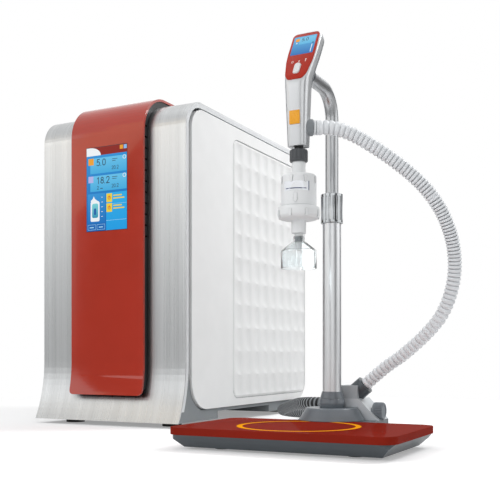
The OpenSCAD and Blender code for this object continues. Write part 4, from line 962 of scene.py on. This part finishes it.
upper_ribs = [end_rib(330.5, 339, 23.3, 4.0, a, 1.6) for a in range(-90, 270, 45)]
piece("capsule_body", joined(capsule, *upper_ribs), gun, "filter", capsule_pp, ("capsule_filter",), 30)
foot = turned(eased([(0, 302, 0), (25.8, 302, 0.8), (26.6, 298, 2), (26.6, 291, 4), (23.4, 287, 2.5),
                     (9.4, 285.6, 1.5), (9.1, 269.6, 0.5), (5.3, 268.8, 0.4), (4.9, 264.6, 0.2),
                     (5.4, 264.2, 0.1), (4.5, 260.2, 0.2), (5.0, 259.8, 0.1), (4.1, 255.8, 0.2),
                     (4.6, 255.4, 0.1), (3.7, 251.6, 0.2), (3.2, 248.2, 0.6), (0, 248.2, 0)]), 96)
lower_ribs = [end_rib(288.5, 297, 27.3, 4.0, a, 3.0) for a in range(-90, 270, 45)]
piece("capsule_foot", joined(foot, *lower_ribs), gun, "filter", capsule_pp, ("filter_base",), 30)


def wrapped(low, high, shift):
    """Bends a flat sign round the capsule, from one radius out to another: across, up, and out of it."""
    def place(u, v, w):
        r, turn = low + w / layer_lift * (high - low), (u + shift) / low
        return gun(r * sin(turn), -r * cos(turn), v)
    return place


def fine_strip(u0, v0, u1, v1, n=24):
    """A rectangle whose long sides have many points, so that it can bend."""
    steps = [(u1 - u0) * k / n for k in range(n + 1)]
    return [(u0 + step, v0) for step in steps] + [(u1 - step, v1) for step in steps]


label_paper = moulded("paper_label", "#F3F6FB", 0.5, 0.4, 0.0)
tiles("capsule_label", [fine_strip(-15, 320, 19, 331.5)], 1, label_paper, wrapped(22.4, 22.55, 4), "filter")
label_ink = moulded("label_ink_blue", "#34466E", 0.5, 0.5, 0.0)
label_lines = [fine_strip(-12, 322.0, 15, 323.0), fine_strip(17.9, 320, 19, 331.5, 2)]
tiles("capsule_label_rule", label_lines, 1, label_ink, wrapped(22.6, 22.75, 4), "filter")
arrow = [(-2, 317), (-2, 309.5), (-3.2, 309.5), (0, 305), (3.2, 309.5), (2, 309.5), (2, 317)]
tiles("capsule_arrow", [arrow], 1, capsule_pp, wrapped(22.3, 23.2, 5), "filter")

# ---- dispensing bell ----
# Clear moulded bell pushed on the barb: it keeps dust and splashes from the vessel's neck.
bell_clear, tree, shader = finish_of("san_clear", "#F4F8F9", 0.05, IOR=1.5, Transmission_Weight=1.0)
tree.links.new(spread(tree, speckle(tree, 5, 3.0), 0.03, 0.08), shader.inputs["Roughness"])
bell = turned(eased([(5.4, 265.5, 0.3), (6.9, 265.5, 0.5), (6.9, 260.5, 1.5), (22.5, 247.6, 4),
                     (22.5, 225.5, 0.5), (21.3, 225.5, 0.5), (21.3, 246.9, 3), (5.9, 258.8, 1),
                     (5.4, 260, 0.3)]), 96)
piece("bell_clear_shell", bell, gun, "bell", bell_clear, ("dispense_bell",))

# ---- floor, background and lights ----
# A white studio sweep: a pale floor that keeps the soft shadow, a white surround, soft lamps above, in
# front and at the right, a narrow one that grazes the side panel, and cards that draw the lines in the metal.
floor_paint = bpy.data.materials.new("studio_floor")
floor_paint.use_nodes = True
tree = floor_paint.node_tree
tree.nodes.clear()
path = add(tree, "LightPath", {})
seen = add(tree, "Math", {0: path.outputs["Is Camera Ray"], 1: path.outputs["Is Glossy Ray"]},
           operation="MAXIMUM")
seen = add(tree, "Math", {0: seen.outputs[0], 1: path.outputs["Is Transmission Ray"]}, operation="MAXIMUM")
matt = add(tree, "BsdfDiffuse", {"Color": (0.78, 0.78, 0.785, 1)})
glow = add(tree, "Emission", {"Color": (1, 1, 1, 1), "Strength": 0.3})
none = add(tree, "Emission", {"Color": (0, 0, 0, 1), "Strength": 0.0})
extra = add(tree, "MixShader", {0: seen.outputs[0], 1: none.outputs[0], 2: glow.outputs[0]})
both = add(tree, "AddShader", {0: matt.outputs[0], 1: extra.outputs[0]})
spot = add(tree, "NewGeometry", {}).outputs["Position"]
far = add(tree, "VectorMath", {0: spot}, operation="LENGTH").outputs["Value"]
level = add(tree, "MapRange",
            {"Value": path.outputs["Is Glossy Ray"], "To Min": 1.0, "To Max": 0.6}).outputs[0]
white = add(tree, "Emission", {"Color": (1, 1, 1, 1), "Strength": level})
away = add(tree, "Math", {0: spread(tree, far, 0, 1, 0.62, 1.0), 1: seen.outputs[0]}, operation="MULTIPLY")
sweep = add(tree, "MixShader", {0: away.outputs[0], 1: both.outputs[0], 2: white.outputs[0]})
add(tree, "OutputMaterial", {"Surface": sweep.outputs[0]})
floor_mesh = bpy.data.meshes.new("floor")
floor_mesh.from_pydata([(-9, -9, 0), (9, -9, 0), (9, 9, 0), (-9, 9, 0)], [], [(0, 1, 2, 3)])
floor_mesh.materials.append(floor_paint)
floor = bpy.data.objects.new("floor", floor_mesh)
bpy.context.scene.collection.objects.link(floor)

world = bpy.data.worlds.new("studio")
world.use_nodes = True
bpy.context.scene.world = world
tree = world.node_tree
tree.nodes.clear()
path = add(tree, "LightPath", {})
seen = add(tree, "Math", {0: path.outputs["Is Camera Ray"], 1: path.outputs["Is Transmission Ray"]},
           operation="MAXIMUM")
upward = add(tree, "SeparateXYZ", {0: add(tree, "TexCoord", {}).outputs["Generated"]}).outputs["Z"]
graded = add(tree, "ValToRGB", {0: upward})
for at, grey in ((0.08, 0.55), (0.20, 1.0), (0.34, 1.0), (0.48, 0.55)):
    graded.color_ramp.elements.new(at).color = (grey, grey, grey, 1)
graded.color_ramp.elements[0].color = (0.22, 0.22, 0.22, 1)
graded.color_ramp.elements[-1].color = (0.5, 0.5, 0.5, 1)
shine = add(tree, "Math", {0: graded.outputs[0], 1: 1.7}, operation="MULTIPLY").outputs[0]
shine = add(tree, "Math", {0: shine, 1: path.outputs["Is Glossy Ray"]}, operation="MULTIPLY").outputs[0]
level = add(tree, "MapRange", {"Value": seen.outputs[0], "To Min": 0.42, "To Max": 1.0}).outputs[0]
matte = add(tree, "MapRange",
            {"Value": path.outputs["Is Glossy Ray"], "To Min": 1.0, "To Max": 0.0}).outputs[0]
level = add(tree, "Math", {0: level, 1: matte}, operation="MULTIPLY").outputs[0]
level = add(tree, "Math", {0: level, 1: shine}, operation="ADD").outputs[0]
sky = add(tree, "Background", {"Color": (1, 1, 1, 1), "Strength": level})
add(tree, "OutputWorld", {"Surface": sky.outputs[0]})


def lamp(name, at, towards, size, power):
    """A soft box of that size in metres."""
    light = bpy.data.lights.new(name, "AREA")
    light.shape = "RECTANGLE"
    light.size, light.size_y = size
    light.energy = power
    made = bpy.data.objects.new(name, light)
    made.location = at
    made.rotation_euler = (Vector(towards) - Vector(at)).to_track_quat("-Z", "Y").to_euler()
    made.visible_camera = False
    bpy.context.scene.collection.objects.link(made)
    return made


lamp("front_lamp", (-1.4, -2.2, 1.9), (0, 0, 0.25), (1.6, 1.6), 33).visible_glossy = False
lamp("right_lamp", (1.2, 1.0, 2.0), (0, 0.1, 0.25), (0.7, 0.7), 26)
lamp("fill_lamp", (2.6, -1.6, 0.9), (0, 0, 0.25), (1.6, 1.2), 7).visible_glossy = False
lamp("grazing_lamp", (0.55, -2.5, 0.9), (-0.07, 0.15, 0.3), (0.4, 0.8), 6).visible_glossy = False
lamp("top_lamp", (0, 0.2, 2.4), (0, 0, 0), (2.0, 2.0), 12)


def card(name, left, right, top, level=0.0, colour="#FFFFFF", feet=(0, 0)):
    """A standing card that only reflections see: dark, or lit. Its two feet may stand at two heights."""
    mesh = bpy.data.meshes.new(name)
    mesh.from_pydata([(*left, feet[0]), (*right, feet[1]), (*right, top), (*left, top)], [], [(0, 1, 2, 3)])
    matt_card, tree, shader = finish_of(name, "#0C0C0D", 0.9, Specular_IOR_Level=0.0)
    shader.inputs["Emission Color"].default_value = linear(colour)
    shader.inputs["Emission Strength"].default_value = level
    mesh.materials.append(matt_card)
    made = bpy.data.objects.new(name, mesh)
    made.visible_camera = made.visible_diffuse = made.visible_shadow = made.visible_transmission = False
    bpy.context.scene.collection.objects.link(made)


card("card_front", (0.10, -1.6), (0.36, -1.6), 1.4)
card("card_fascia", (-1.24, -1.32), (-0.93, -1.32), 0.9, 0.2)
card("card_softbox", (-1.24, -1.3), (-0.93, -1.3), 1.7, 1.45, "#FFEFD8", (0.584, 0.851))
card("card_left", (-1.5, -0.5), (-1.5, 0.3), 1.4)
card("card_right", (1.6, -1.35), (1.6, -0.45), 1.4, 0.15)
card("card_back", (0.42, 0.6), (1.0, 0.6), 1.3, 0.12)
bpy.context.scene.view_settings.view_transform = "Standard"
